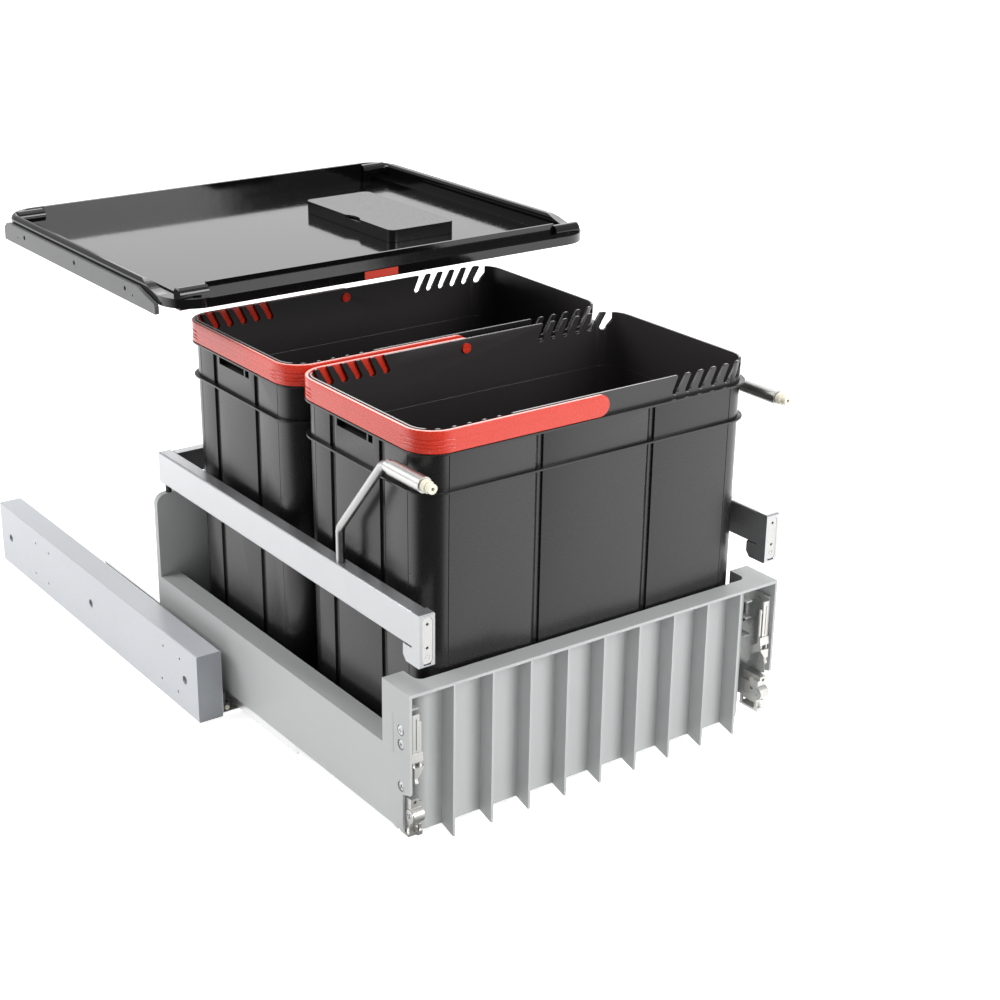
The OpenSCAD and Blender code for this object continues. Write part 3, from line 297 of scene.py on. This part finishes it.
def bin_plan():
    """Points round a bin: place, outward direction, groove factor, seam factor."""
    a, b, r = BIN_W / 2, BIN_D / 2, BIN_R
    half_long, half_short = (a - r) / MM, (b - r) / MM
    made = []
    for side, (out, half, grooves) in enumerate((
            ((0, -1), half_long, [(-70, 1), (70, 1)]), ((1, 0), half_short, [(-40, 1), (50, 1)]),
            ((0, 1), half_long, [(-70, -1), (70, -1)]), ((-1, 0), half_short, [(-50, -1), (40, -1)]))):
        out = Vector(out)
        along = Vector((-out.y, out.x))
        reach = b if side % 2 == 0 else a
        for place, groove, seam in wall_marks(2 * half, [(half + p, s) for p, s in grooves]):
            made.append((out * reach + along * (place - half) * MM, out, groove, seam))
        centre = out * (reach - r) + along * half * MM
        for i in range(1, CORNER_STEPS):
            turn = math.radians(90 * i / CORNER_STEPS)
            way = out * math.cos(turn) + along * math.sin(turn)
            made.append((centre + way * r, way, 0, 0))
    return made


BIN_PLAN = bin_plan()
print("points in the plan:", len(BIN_PLAN))

# %% [markdown]
# ### The levels
# From the foot up: a rounded foot, the wall with its grooves, the ring, the wall again, the ledge that carries the
# handle, the plain strip behind the handle and the rim. Then the list turns over the rim and goes down the inside.


# %% Levels of a bin
def flange(top, reach, thick=2.2, edge=0.5):
    """Levels of a flat ring with rounded edges, from below to above: height and reach in mm."""
    turns = [math.radians(30 * i) for i in range(4)]
    low = [(thick - edge * (1 - math.cos(t)), reach - edge * (1 - math.sin(t))) for t in turns]
    high = [(edge * (1 - math.sin(t)), reach - edge * (1 - math.cos(t))) for t in turns]
    points = [(thick, 0.0), (thick, reach - edge - 0.3)] + low + high + [(0, reach - edge - 0.3), (0, 0.02)]
    return [(top - drop * MM, out, 0, 0) for drop, out in points]


def bin_levels():
    """Height, reach in mm, groove factor, seam factor: up the outside, over the rim and down the inside."""
    z0, wall = BIN_FLOOR, -BIN_WALL / MM
    made = [(z0 + up * MM, out, 0, 0) for up, out in ((0, -3), (0, -2.2), (0.3, -1.2), (1.0, -0.4), (2.4, 0))]
    made += [(z0 + 3 * MM, 0, 0, 1), (z0 + 3.8 * MM, 0, 0, 1), (z0 + 4 * MM, 0, 1, 1)]
    made += [(RING - 2.21 * MM, 0, 1, 1)] + flange(RING, 4.8)
    made += [(RING + 0.3 * MM, 0, 1, 1), (BAND - 5.2 * MM, 0, 1, 1), (BAND - 5 * MM, 0, 0, 1)]
    made += [(BAND - 2.6 * MM, 0, 0, 1)] + flange(BAND - 0.3 * MM, 5.4)
    made += [(BAND, 0, 0, 1), (RIM - 1.6 * MM, 0, 0, 1)]
    turns = [math.radians(22.5 * i) for i in range(5)]
    made += [(RIM - RIM_EDGE * (1 - math.sin(t)) * MM, -RIM_EDGE * (1 - math.cos(t)), 0, 0) for t in turns]
    made += [(RIM - RIM_EDGE * (1 - math.cos(t)) * MM, wall + RIM_EDGE * (1 - math.sin(t)), 0, 0) for t in turns]
    made += [(RIM - 1.4 * MM, wall, 0, 0), (RING + 0.3 * MM, wall, 0, 0), (RING, wall - 0.12, 0, 0)]
    made += [(z0 + up * MM, wall - 0.12 + out, 0, 0) for up, out in ((6, 0), (4, -0.6), (2.7, -1.9), (2.2, -3.8))]
    return made


BIN_LEVELS = bin_levels()
TOP_ROW = max(i for i, level in enumerate(BIN_LEVELS) if level[0] == RIM and level[1] > -BIN_WALL / MM / 2)
print("levels:", len(BIN_LEVELS))

# %% [markdown]
# ### From grid to mesh
# Four small tools: one skins a grid, one turns it into an object, one settles modifiers into the mesh, and one
# adds a prism, which is what every cut below is made of.


# %% Grid to mesh
def skin(rings, finish=lambda row, place: 0):
    """A closed mesh from rings of points: quads between neighbours, and a fan over each end.

    `finish` gives the material slot of the quad that starts at a row and a place in it.
    """
    made = bmesh.new()
    rows = [[made.verts.new(p) for p in ring] for ring in rings]
    count = len(rows[0])
    for row, (low, high) in enumerate(zip(rows, rows[1:])):
        for i in range(count):
            quad = made.faces.new((low[i], low[(i + 1) % count], high[(i + 1) % count], high[i]))
            quad.material_index = finish(row, i)
    for row in (0, len(rows) - 1):
        middle = made.verts.new(sum((v.co for v in rows[row]), Vector()) / count)
        for i in range(count):
            made.faces.new((rows[row][i], rows[row][(i + 1) % count], middle)).material_index = finish(row, i)
    bmesh.ops.remove_doubles(made, verts=made.verts, dist=WELD)
    bmesh.ops.recalc_face_normals(made, faces=made.faces)
    return made


def show(made, name, *materials, smooth=25):
    """Turns a bmesh into an object at the origin, shaded smooth up to an angle in degrees."""
    mesh = bpy.data.meshes.new(name)
    made.to_mesh(mesh)
    made.free()
    for material in materials:
        mesh.materials.append(material)
    mesh.shade_smooth()
    mesh.set_sharp_from_angle(angle=math.radians(smooth))
    piece = bpy.data.objects.new(name, mesh)
    bpy.context.scene.collection.objects.link(piece)
    return piece


def settle(piece, smooth=25):
    """Puts the result of an object's modifiers into its mesh and drops the modifiers."""
    solid = bpy.data.meshes.new_from_object(piece.evaluated_get(bpy.context.evaluated_depsgraph_get()))
    piece.modifiers.clear()
    piece.data = solid
    solid.shade_smooth()
    solid.set_sharp_from_angle(angle=math.radians(smooth))
    return piece


def prism(made, outline, place, start, end):
    """Adds a prism to a bmesh. `place` puts a point of the flat outline at a depth."""
    ends = [[made.verts.new(place(u, v, depth)) for u, v in outline] for depth in (start, end)]
    count = len(outline)
    faces = [made.faces.new(ends[0]), made.faces.new(ends[1][::-1])]
    faces += [made.faces.new((ends[0][i], ends[1][i], ends[1][(i + 1) % count], ends[0][(i + 1) % count]))
              for i in range(count)]
    bmesh.ops.recalc_face_normals(made, faces=faces)


# %% [markdown]
# ### The comb, the pivot bores and the grips
# Beside each corner the rim is cut into a comb: slots that lean to the corner, with round feet and round teeth,
# which hold the edge of a liner bag. The handle turns in a bore in the front wall and one in the rear wall. Under
# the ledge the left wall has a pocket for the fingers, sunk into a block on its inside, and the right wall has a
# shallow mark of the same outline. All of them are prisms, and a Boolean takes them away at once. A narrow bevel
# then breaks the sharp edges, as the mould does.

# %% Cuts in a bin
def slot_outline():
    """A comb slot in mm from the middle of its foot: a wedge that leans, with a round foot and round shoulders."""
    height, foot, tip, lean, flare = COMB_DEPTH, 4.2, 2.2, 0.53, 0.07
    top = height - tip
    half = foot + flare * top
    turns = [math.radians(22.5 * i) for i in range(5)]
    left = [(lean * (top + tip * math.sin(t)) - half - tip * (1 - math.cos(t)), top + tip * math.sin(t))
            for t in turns]
    right = [(lean * (top + tip * math.sin(t)) + half + tip * (1 - math.cos(t)), top + tip * math.sin(t))
             for t in turns]
    bottom = [(foot * math.cos(math.radians(180 + 22.5 * i)), foot * math.sin(math.radians(180 + 22.5 * i)))
              for i in range(9)]
    lid = [(lean * height + half + tip, height + 3), (lean * height - half - tip, height + 3)]
    return bottom + right + lid + left[::-1]


def bin_cutter(y):
    """One mesh with all the prisms that are taken out of a bin."""
    made = bmesh.new()
    a, b = BIN_W / 2, BIN_D / 2
    foot = RIM - COMB_DEPTH * MM
    for flip in (-1, 1):
        for i in range(COMB_TEETH):
            x = a - (COMB_FIRST - COMB_PITCH * i) * MM
            deep = (10 if i == COMB_TEETH - 1 else 17) * MM
            for start, end in ((-b - 2 * MM, -b + deep), (b - deep, b + 2 * MM)):
                prism(made, slot_outline(),
                      lambda u, v, d: (flip * (x + u * MM), y + d, foot + v * MM), start, end)
        upper, lower = (-3, -7.4) if flip < 0 else (-1.2, -1.2)     # deep on the left, shallow on the right
        for start, end in ((-24, -16), (-13.5, 41)):                # a short and a long opening
            prism(made, [(2, -13.6), (2, -3), (upper, -3), (lower, -13.6)],
                  lambda u, v, d: (flip * (a + u * MM), y + d * MM, BAND + v * MM), start, end)
    bore = [(BORE_R * math.cos(math.radians(15 * i)), BORE_R * math.sin(math.radians(15 * i))) for i in range(24)]
    for start, end in ((-b - 3 * MM, -b + 5 * MM), (b - 5 * MM, b + 3 * MM)):
        prism(made, bore, lambda u, v, d: (u * MM, y + d, PIVOT + v * MM), start, end)
    return made


def grip_back(y):
    """The block inside the left wall, which the deep grip pocket is sunk into."""
    made = bmesh.new()
    prism(made, [(-1.4, -16), (-1.4, 2), (-5, -1), (-9, -12), (-9, -14)],
          lambda u, v, d: (-BIN_W / 2 - u * MM, y + d * MM, BAND + v * MM), -27, 44)
    return made


# %% [markdown]
# ### Both bins
# The grid becomes a shell, the block goes on and the prisms come off. Flat neighbours are merged before the bevel,
# so that no needle faces are left at the cuts.


# %% Two bins
def make_bin(side):
    """One bin as a finished shell, which rides on its CAD bin and stands for it."""
    y = BIN_Y[side]
    rings = []
    for z, reach, groove, seam in BIN_LEVELS:
        back = DRAFT * (RIM - z) / BIN_H
        rings.append([(p.x + out.x * push, p.y + out.y * push + y, z) for p, out, g, s in BIN_PLAN
                      for push in [(reach - GROOVE * g * groove - SEAM * s * seam) * MM - back]])
    # slot 1 is the inside, painted lighter, and slot 2, the top of the rim, is a painted highlight
    outside, inside, top = 0, 1, 2
    shell = skin(rings, lambda row, place: top if row == TOP_ROW else inside if row > TOP_ROW else outside)
    piece = show(shell, side + "_bin_shell", black_pp, inside_painted_light_pp, rim_painted_highlight)
    for tool, operation in ((grip_back(y), "UNION"), (bin_cutter(y), "DIFFERENCE")):
        helper = show(tool, side + "_tool")
        cut = piece.modifiers.new("cut", "BOOLEAN")
        cut.operation, cut.solver, cut.object = operation, "EXACT", helper
        settle(piece)
        bpy.data.objects.remove(helper)
    flat = bmesh.new()
    flat.from_mesh(piece.data)
    bmesh.ops.remove_doubles(flat, verts=flat.verts, dist=WELD)
    bmesh.ops.dissolve_limit(flat, angle_limit=math.radians(0.2), verts=flat.verts, edges=flat.edges)
    flat.to_mesh(piece.data)
    flat.free()
    edge = piece.modifiers.new("edge", "BEVEL")
    edge.width, edge.segments, edge.limit_method = BEVEL, 2, "ANGLE"
    edge.angle_limit = math.radians(55)
    settle(piece, smooth=21)
    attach(piece, side + "_bin")
    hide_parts(side + "_bin")
    return piece


for side in BIN_Y:
    piece = make_bin(side)
    print(piece.name, len(piece.data.polygons), "faces")

# %% [markdown]
# ## The bail handles
# A handle is a flat band that lies round one half of the rim and turns on two pins. It is swept: a section is
# carried along the bin's plan from the front pin round two corners to the rear pin. Past the pins the section
# gets lower like a half disc, which gives the round ends. Round the corners three fine grooves run in the
# outside, which lets the thin band give a little there without a crease.

# %% Path and section of a handle
BAND_H, BAND_T, BAND_GAP = 22.6 * MM, 4.2 * MM, 0.6 * MM
BAND_MID = BAND + BAND_H / 2
BAND_GROOVE = 0.8                 # depth of the grooves round the corners, in mm


def band_path():
    """Points along the left half of a bin: place, outward direction, height factor, groove factor."""
    a, b, r = BIN_W / 2, BIN_D / 2, BIN_R
    half = BAND_H / 2
    made = []

    def ends(out):
        turns = [math.radians(87.5 - 7.3 * i) for i in range(12)] + [0.0]
        return [(Vector((half * math.sin(t), out * b)), Vector((0, out)), math.cos(t), 0) for t in turns]

    def straight(start, end, out, fade):
        length = (end - start).length
        places = [0, 2, 4, 7] if "start" in fade else [0]
        tail = [length / MM - p for p in ([7, 4, 2, 0] if "end" in fade else [0])]
        for p in places + tail:
            near = min(p if "start" in fade else 99, length / MM - p if "end" in fade else 99)
            made.append((start.lerp(end, p * MM / length), out, 1.0, max(0.0, 1 - near / 7)))

    def corner(centre, angle):
        for i in range(1, CORNER_STEPS):
            turn = math.radians(angle - 90 * i / CORNER_STEPS)
            way = Vector((math.cos(turn), math.sin(turn)))
            made.append((centre + way * r, way, 1.0, 1.0))

    made += ends(-1)
    straight(Vector((-1 * MM, -b)), Vector((-a + r, -b)), Vector((0, -1)), ("end",))
    corner(Vector((-a + r, -b + r)), -90)
    straight(Vector((-a, -b + r)), Vector((-a, b - r)), Vector((-1, 0)), ("start", "end"))
    corner(Vector((-a + r, b - r)), 180)
    straight(Vector((-a + r, b)), Vector((-1 * MM, b)), Vector((0, 1)), ("start",))
    made += ends(1)[::-1]
    return made


def band_section():
    """The closed section: reach and height in mm from the band's inner middle, and groove factor."""
    half, thick, edge = BAND_H / MM / 2, BAND_T / MM, 0.7
    turns = [math.radians(30 * i) for i in range(4)]
    outside = [(-half + edge, 0)]
    for share in (0.77, 0.62, 0.42):
        middle = half - share * 2 * half
        outside += [(middle + up, ridge) for up, ridge in
                    ((-0.9, 0), (-0.45, 0.75), (0, 1), (0.45, 0.75), (0.9, 0))]
    outside += [(half - edge, 0)]
    made = [(thick, z, ridge) for z, ridge in outside]
    made += [(thick - edge + edge * math.cos(t), half - edge + edge * math.sin(t), 0) for t in turns[1:]]
    made += [(edge - edge * math.sin(t), half - edge + edge * math.cos(t), 0) for t in turns]
    made += [(edge - edge * math.cos(t), -half + edge - edge * math.sin(t), 0) for t in turns]
    made += [(thick - edge + edge * math.sin(t), -half + edge - edge * math.cos(t), 0) for t in turns[:3]]
    return made


# %% [markdown]
# ### Both handles
# One ring of section points stands on every point of the path. The face on top gets the pale colour of a painted
# highlight.


# %% Two handles
def make_handle(side):
    """One bail handle, which rides on its CAD handle and stands for it."""
    y = BIN_Y[side]
    section = band_section()
    rings = []
    for place, out, height, fade in band_path():
        pushes = [BAND_GAP + (reach - BAND_GROOVE * mark * fade) * MM for reach, z, mark in section]
        rings.append([(place.x + out.x * push, place.y + out.y * push + y, BAND_MID + z * height * MM)
                      for push, (reach, z, mark) in zip(pushes, section)])
    high = max(z for reach, z, mark in section)
    top = max(i for i, (reach, z, mark) in enumerate(section) if z == high and reach > BAND_T / MM / 2)
    # the face on top carries the painted highlight
    piece = show(skin(rings, lambda row, place: int(place == top)), side + "_bail", red_pp, band_painted_highlight, smooth=35)
    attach(piece, side + "_handle")
    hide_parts(side + "_handle")
    return piece


for side in BIN_Y:
    piece = make_handle(side)
    print(piece.name, len(piece.data.polygons), "faces")

# %% [markdown]
# ## Screws from Geometry Nodes
# Each side of the frame has three screws with a domed head and a cross recess. One node tree makes them all: a
# flattened ball is the dome, two bars at right angles cut the recess, a cylinder is the shank, and a copy stands on
# every point that is fed in. Each copy gets its own turn from a fixed seed, because no screw stops at the same angle
# as the next.


# %% A tree of screws
def screw_tree():
    """Screws on points. Their sizes are inputs in metres, their axis is an input rotation."""
    tree = bpy.data.node_groups.new("domed screws", "GeometryNodeTree")
    tree.interface.new_socket("Places", in_out="INPUT", socket_type="NodeSocketGeometry")
    for name in ("Head radius", "Dome height", "Recess width", "Recess depth", "Shank radius", "Shank length"):
        tree.interface.new_socket(name, in_out="INPUT", socket_type="NodeSocketFloat")
    tree.interface.new_socket("Axis", in_out="INPUT", socket_type="NodeSocketRotation")
    tree.interface.new_socket("Seed", in_out="INPUT", socket_type="NodeSocketInt")
    tree.interface.new_socket("Finish", in_out="INPUT", socket_type="NodeSocketMaterial")
    tree.interface.new_socket("Screws", in_out="OUTPUT", socket_type="NodeSocketGeometry")
    given = add(tree, "NodeGroupInput").outputs

    ball = add(tree, "GeometryNodeMeshUVSphere", {"Segments": 40, "Rings": 20, "Radius": 1.0})
    flat = add(tree, "ShaderNodeCombineXYZ", {
        "X": given["Head radius"], "Y": given["Head radius"], "Z": given["Dome height"]})
    dome = add(tree, "GeometryNodeTransform", {"Geometry": ball.outputs["Mesh"], "Scale": flat.outputs[0]})
    length = add(tree, "ShaderNodeMath", {0: given["Head radius"], 1: 1.15}, operation="MULTIPLY")
    height = add(tree, "ShaderNodeMath", {0: given["Recess depth"], 1: 2.0}, operation="MULTIPLY")
    size = add(tree, "ShaderNodeCombineXYZ", {
        "X": given["Recess width"], "Y": length.outputs[0], "Z": height.outputs[0]})
    bar = add(tree, "GeometryNodeMeshCube", {"Size": size.outputs[0]})
    top = add(tree, "ShaderNodeCombineXYZ", {"Z": given["Dome height"]})
    bars = [add(tree, "GeometryNodeTransform", {
        "Geometry": bar.outputs["Mesh"], "Translation": top.outputs[0], "Rotation": (0, 0, turn)})
        for turn in (0, math.pi / 2)]
    headed = add(tree, "GeometryNodeMeshBoolean", {"Mesh 1": dome.outputs[0]}, operation="DIFFERENCE")
    for cut in bars:
        tree.links.new(cut.outputs[0], headed.inputs["Mesh 2"])
    rod = add(tree, "GeometryNodeMeshCylinder", {
        "Vertices": 24, "Radius": given["Shank radius"], "Depth": given["Shank length"]})
    half = add(tree, "ShaderNodeMath", {0: given["Shank length"], 1: -0.5}, operation="MULTIPLY")
    below = add(tree, "ShaderNodeCombineXYZ", {"Z": half.outputs[0]})
    shank = add(tree, "GeometryNodeTransform", {
        "Geometry": rod.outputs["Mesh"], "Translation": below.outputs[0]})
    screw = add(tree, "GeometryNodeJoinGeometry")
    for piece in (headed, shank):
        tree.links.new(piece.outputs[0], screw.inputs[0])

    copies = add(tree, "GeometryNodeInstanceOnPoints", {
        "Points": given["Places"], "Instance": screw.outputs[0], "Rotation": given["Axis"]})
    turn = add(tree, "FunctionNodeRandomValue", {"Max": math.pi / 2, "Seed": given["Seed"]}, data_type="FLOAT")
    spin = add(tree, "ShaderNodeCombineXYZ", {"Z": next(o for o in turn.outputs if o.enabled)})
    turned = add(tree, "GeometryNodeRotateInstances", {
        "Instances": copies.outputs[0], "Rotation": spin.outputs[0], "Local Space": True})
    solid = add(tree, "GeometryNodeRealizeInstances", {"Geometry": turned.outputs[0]})
    coated = add(tree, "GeometryNodeSetMaterial", {"Geometry": solid.outputs[0], "Material": given["Finish"]})
    add(tree, "NodeGroupOutput", {"Screws": coated.outputs[0]})
    return tree


SCREWS = screw_tree()
print("nodes in the screw tree:", len(SCREWS.nodes))

# %% [markdown]
# ### Screws in place
# The points are read from the CAD screws: each loose body of that piece is one screw, and the middle of its outer
# face, less the height of the dome, is where a screw stands. They are sorted by height, so that each screw gets the
# same turn in every run.

# %% Screws on both sides
DOME = 1.3 * MM


def head_places(name, outward):
    """The middle of each screw head in a CAD piece, where its dome starts, from the lowest screw up."""
    loose = bmesh.new()
    loose.from_mesh(nodes[name].data)
    loose.transform(nodes[name].matrix_world)
    bmesh.ops.remove_doubles(loose, verts=loose.verts, dist=0.01 * MM)
    left, places = set(loose.verts), []
    while left:
        group, edge = set(), {left.pop()}
        while edge:
            vert = edge.pop()
            group.add(vert)
            edge |= {e.other_vert(vert) for e in vert.link_edges} - group
        left -= group
        low, high = (Vector([f(v.co[k] for v in group) for k in range(3)]) for f in (min, max))
        face = high.x if outward > 0 else low.x
        places.append((face - outward * DOME, (low.y + high.y) / 2, (low.z + high.z) / 2))
    loose.free()
    return sorted(places, key=lambda place: (place[2], place[1]))


for side, outward in (("left", -1), ("right", 1)):
    places = head_places(side + "_side_screws", outward)
    mesh = bpy.data.meshes.new(side + "_domed_screws")
    mesh.from_pydata(places, [], [])
    piece = bpy.data.objects.new(side + "_domed_screws", mesh)
    bpy.context.scene.collection.objects.link(piece)
    maker = piece.modifiers.new("screws", "NODES")
    maker.node_group = SCREWS
    sizes = {"Head radius": 5.1 * MM, "Dome height": DOME, "Recess width": 1.2 * MM, "Recess depth": 1.0 * MM,
             "Shank radius": 2.0 * MM, "Shank length": 5.0 * MM, "Axis": (0.0, outward * math.pi / 2, 0.0),
             "Seed": 7, "Finish": zinc_sheet}
    for item in SCREWS.interface.items_tree:
        if item.name in sizes:
            maker[item.identifier] = sizes[item.name]
    settle(piece, smooth=40)
    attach(piece, "carriage")
    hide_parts(side + "_side_screws")
    print(piece.name, len(places), "screws", len(piece.data.polygons), "faces")

# %% [markdown]
# ## Floor
# A white studio has a big sheet of paper. The sheet adds a little light of its own for the camera only, so that it
# comes out white without any more light on the object, and it still darkens in the shadow. What the plastics mirror
# is a second matter: most of the grey on the black walls is the mirrored sheet, bright to the left and to the front
# and dark toward the camera. The mirrored sheet is therefore a painted reflection, a glow that only glossy rays see,
# which falls off toward that direction, with painted shade that makes it a little darker toward the object.

# %% Floor
SHEET, SHEET_Z = 30, -0.0006      # half the sheet's width, and its level just under the feet
floor_mesh = bpy.data.meshes.new("floor")
floor_mesh.from_pydata([(x * SHEET, y * SHEET, SHEET_Z) for x, y in ((-1, -1), (1, -1), (1, 1), (-1, 1))], [],
                       [(0, 1, 2, 3)])
floor = bpy.data.objects.new("floor", floor_mesh)
bpy.context.scene.collection.objects.link(floor)
paper = bpy.data.materials.new("white paper floor")
paper.use_nodes = True
tree = paper.node_tree
tree.nodes.clear()
seen = add(tree, "ShaderNodeLightPath")
spot = add(tree, "ShaderNodeTexCoord").outputs["Object"]
from_corner = add(tree, "ShaderNodeVectorMath", {0: spot, 1: (-0.2, -0.42, 0)}, operation="SUBTRACT")
heading = add(tree, "ShaderNodeVectorMath", {0: from_corner.outputs[0]}, operation="NORMALIZE")
facing = add(tree, "ShaderNodeVectorMath", {0: heading.outputs[0], 1: (-0.67, -0.74, 0)}, operation="DOT_PRODUCT")
sheet = add(tree, "ShaderNodeMapRange", {
    "Value": facing.outputs["Value"], "From Min": 0.1, "From Max": 0.75, "To Min": 2.2, "To Max": 0.1},
    interpolation_type="SMOOTHSTEP")
away = add(tree, "ShaderNodeVectorMath", {0: spot}, operation="LENGTH")
# painted shade: the mirrored sheet is drawn darker close to the object
near = add(tree, "ShaderNodeMapRange", {
    "Value": away.outputs["Value"], "From Min": 0.5, "From Max": 1.3, "To Min": 0.72, "To Max": 1.0},
    interpolation_type="SMOOTHSTEP")
paper_light = add(tree, "ShaderNodeMath", {0: sheet.outputs[0], 1: near.outputs[0]}, operation="MULTIPLY")
glow = add(tree, "ShaderNodeMath", {0: seen.outputs["Is Camera Ray"], 1: 0.7}, operation="MULTIPLY")
matt = add(tree, "ShaderNodeBsdfDiffuse", {"Color": linear("#EDEDED")})
shine = add(tree, "ShaderNodeEmission", {"Color": (1, 1, 1, 1), "Strength": glow.outputs[0]})
seen_floor = add(tree, "ShaderNodeAddShader", {0: matt.outputs[0], 1: shine.outputs[0]})
mirrored_floor = add(tree, "ShaderNodeEmission", {"Color": (1, 1, 1, 1), "Strength": paper_light.outputs[0]})
both = add(tree, "ShaderNodeMixShader", {
    0: seen.outputs["Is Glossy Ray"], 1: seen_floor.outputs[0], 2: mirrored_floor.outputs[0]})
add(tree, "ShaderNodeOutputMaterial", {"Surface": both.outputs[0]})
floor_mesh.materials.append(paper)

# %% [markdown]
# ## Room
# The room has three levels: white for the camera, a plain level for what it adds to matt surfaces, and for what
# glossy surfaces mirror a level that falls off toward the camera's side.

# %% Room
sky = bpy.data.worlds.new("studio")
bpy.context.scene.world = sky
sky.use_nodes = True
tree = sky.node_tree
tree.nodes.clear()
seen = add(tree, "ShaderNodeLightPath")
way = add(tree, "ShaderNodeTexCoord").outputs["Generated"]
aside = add(tree, "ShaderNodeVectorMath", {0: way, 1: (-0.52, -0.79, 0.33)}, operation="DOT_PRODUCT")
level = add(tree, "ShaderNodeMapRange", {
    "Value": aside.outputs["Value"], "From Min": 0.3, "From Max": 0.9, "To Min": 0.62, "To Max": 0.12},
    interpolation_type="SMOOTHSTEP")
plain = add(tree, "ShaderNodeMath", {0: seen.outputs["Is Diffuse Ray"], 1: 0.46}, operation="MULTIPLY")
soft = add(tree, "ShaderNodeMath", {0: level.outputs[0], 1: plain.outputs[0]}, operation="MAXIMUM")
room = add(tree, "ShaderNodeBackground", {"Color": (1, 1, 1, 1), "Strength": soft.outputs[0]})
white = add(tree, "ShaderNodeBackground", {"Color": (1, 1, 1, 1), "Strength": 1.0})
choice = add(tree, "ShaderNodeMixShader", {
    0: seen.outputs["Is Camera Ray"], 1: room.outputs[0], 2: white.outputs[0]})
add(tree, "ShaderNodeOutputWorld", {"Surface": choice.outputs[0]})

# %% [markdown]
# ## Lamps
# Soft boxes on the left, in front, overhead and behind. The ones behind make the lid shine and draw the pale lines
# along the rims, and the narrow strip overhead puts a highlight on every round edge.


# %% Lamps
def lamp(name, spot, aim, size, power, turn=0):
    """A soft area lamp at a spot, aimed at a point, and turned about its own axis in degrees."""
    data = bpy.data.lights.new(name, "AREA")
    data.shape = "RECTANGLE"
    data.size, data.size_y = size
    data.energy = power
    made = bpy.data.objects.new(name, data)
    made.location = spot
    look = (Vector(spot) - Vector(aim)).to_track_quat("Z", "Y")
    made.rotation_euler = (look @ Quaternion((0, 0, 1), math.radians(turn))).to_euler()
    bpy.context.scene.collection.objects.link(made)


lamp("left softbox", (-2.1, 1.2, 1.9), (0, 0, 0.25), (1.5, 1.5), 39)
lamp("front softbox", (0.9, -2.7, 1.5), (0, 0, 0.2), (1.4, 1.4), 56)
lamp("top softbox", (0.3, 0.2, 2.6), (0, 0, 0.3), (2.0, 2.0), 12)
lamp("overhead strip", (-0.1, -0.1, 2.5), (0, 0, 0.4), (2.4, 0.06), 14, turn=-34)
lamp("back softbox", (1.9, 2.6, 1.35), (0, 0, 0.4), (2.4, 0.9), 6.2)
lamp("high back softbox", (1.49, 1.89, 1.95), (0, -0.3, 0.42), (2.4, 1.1), 22)
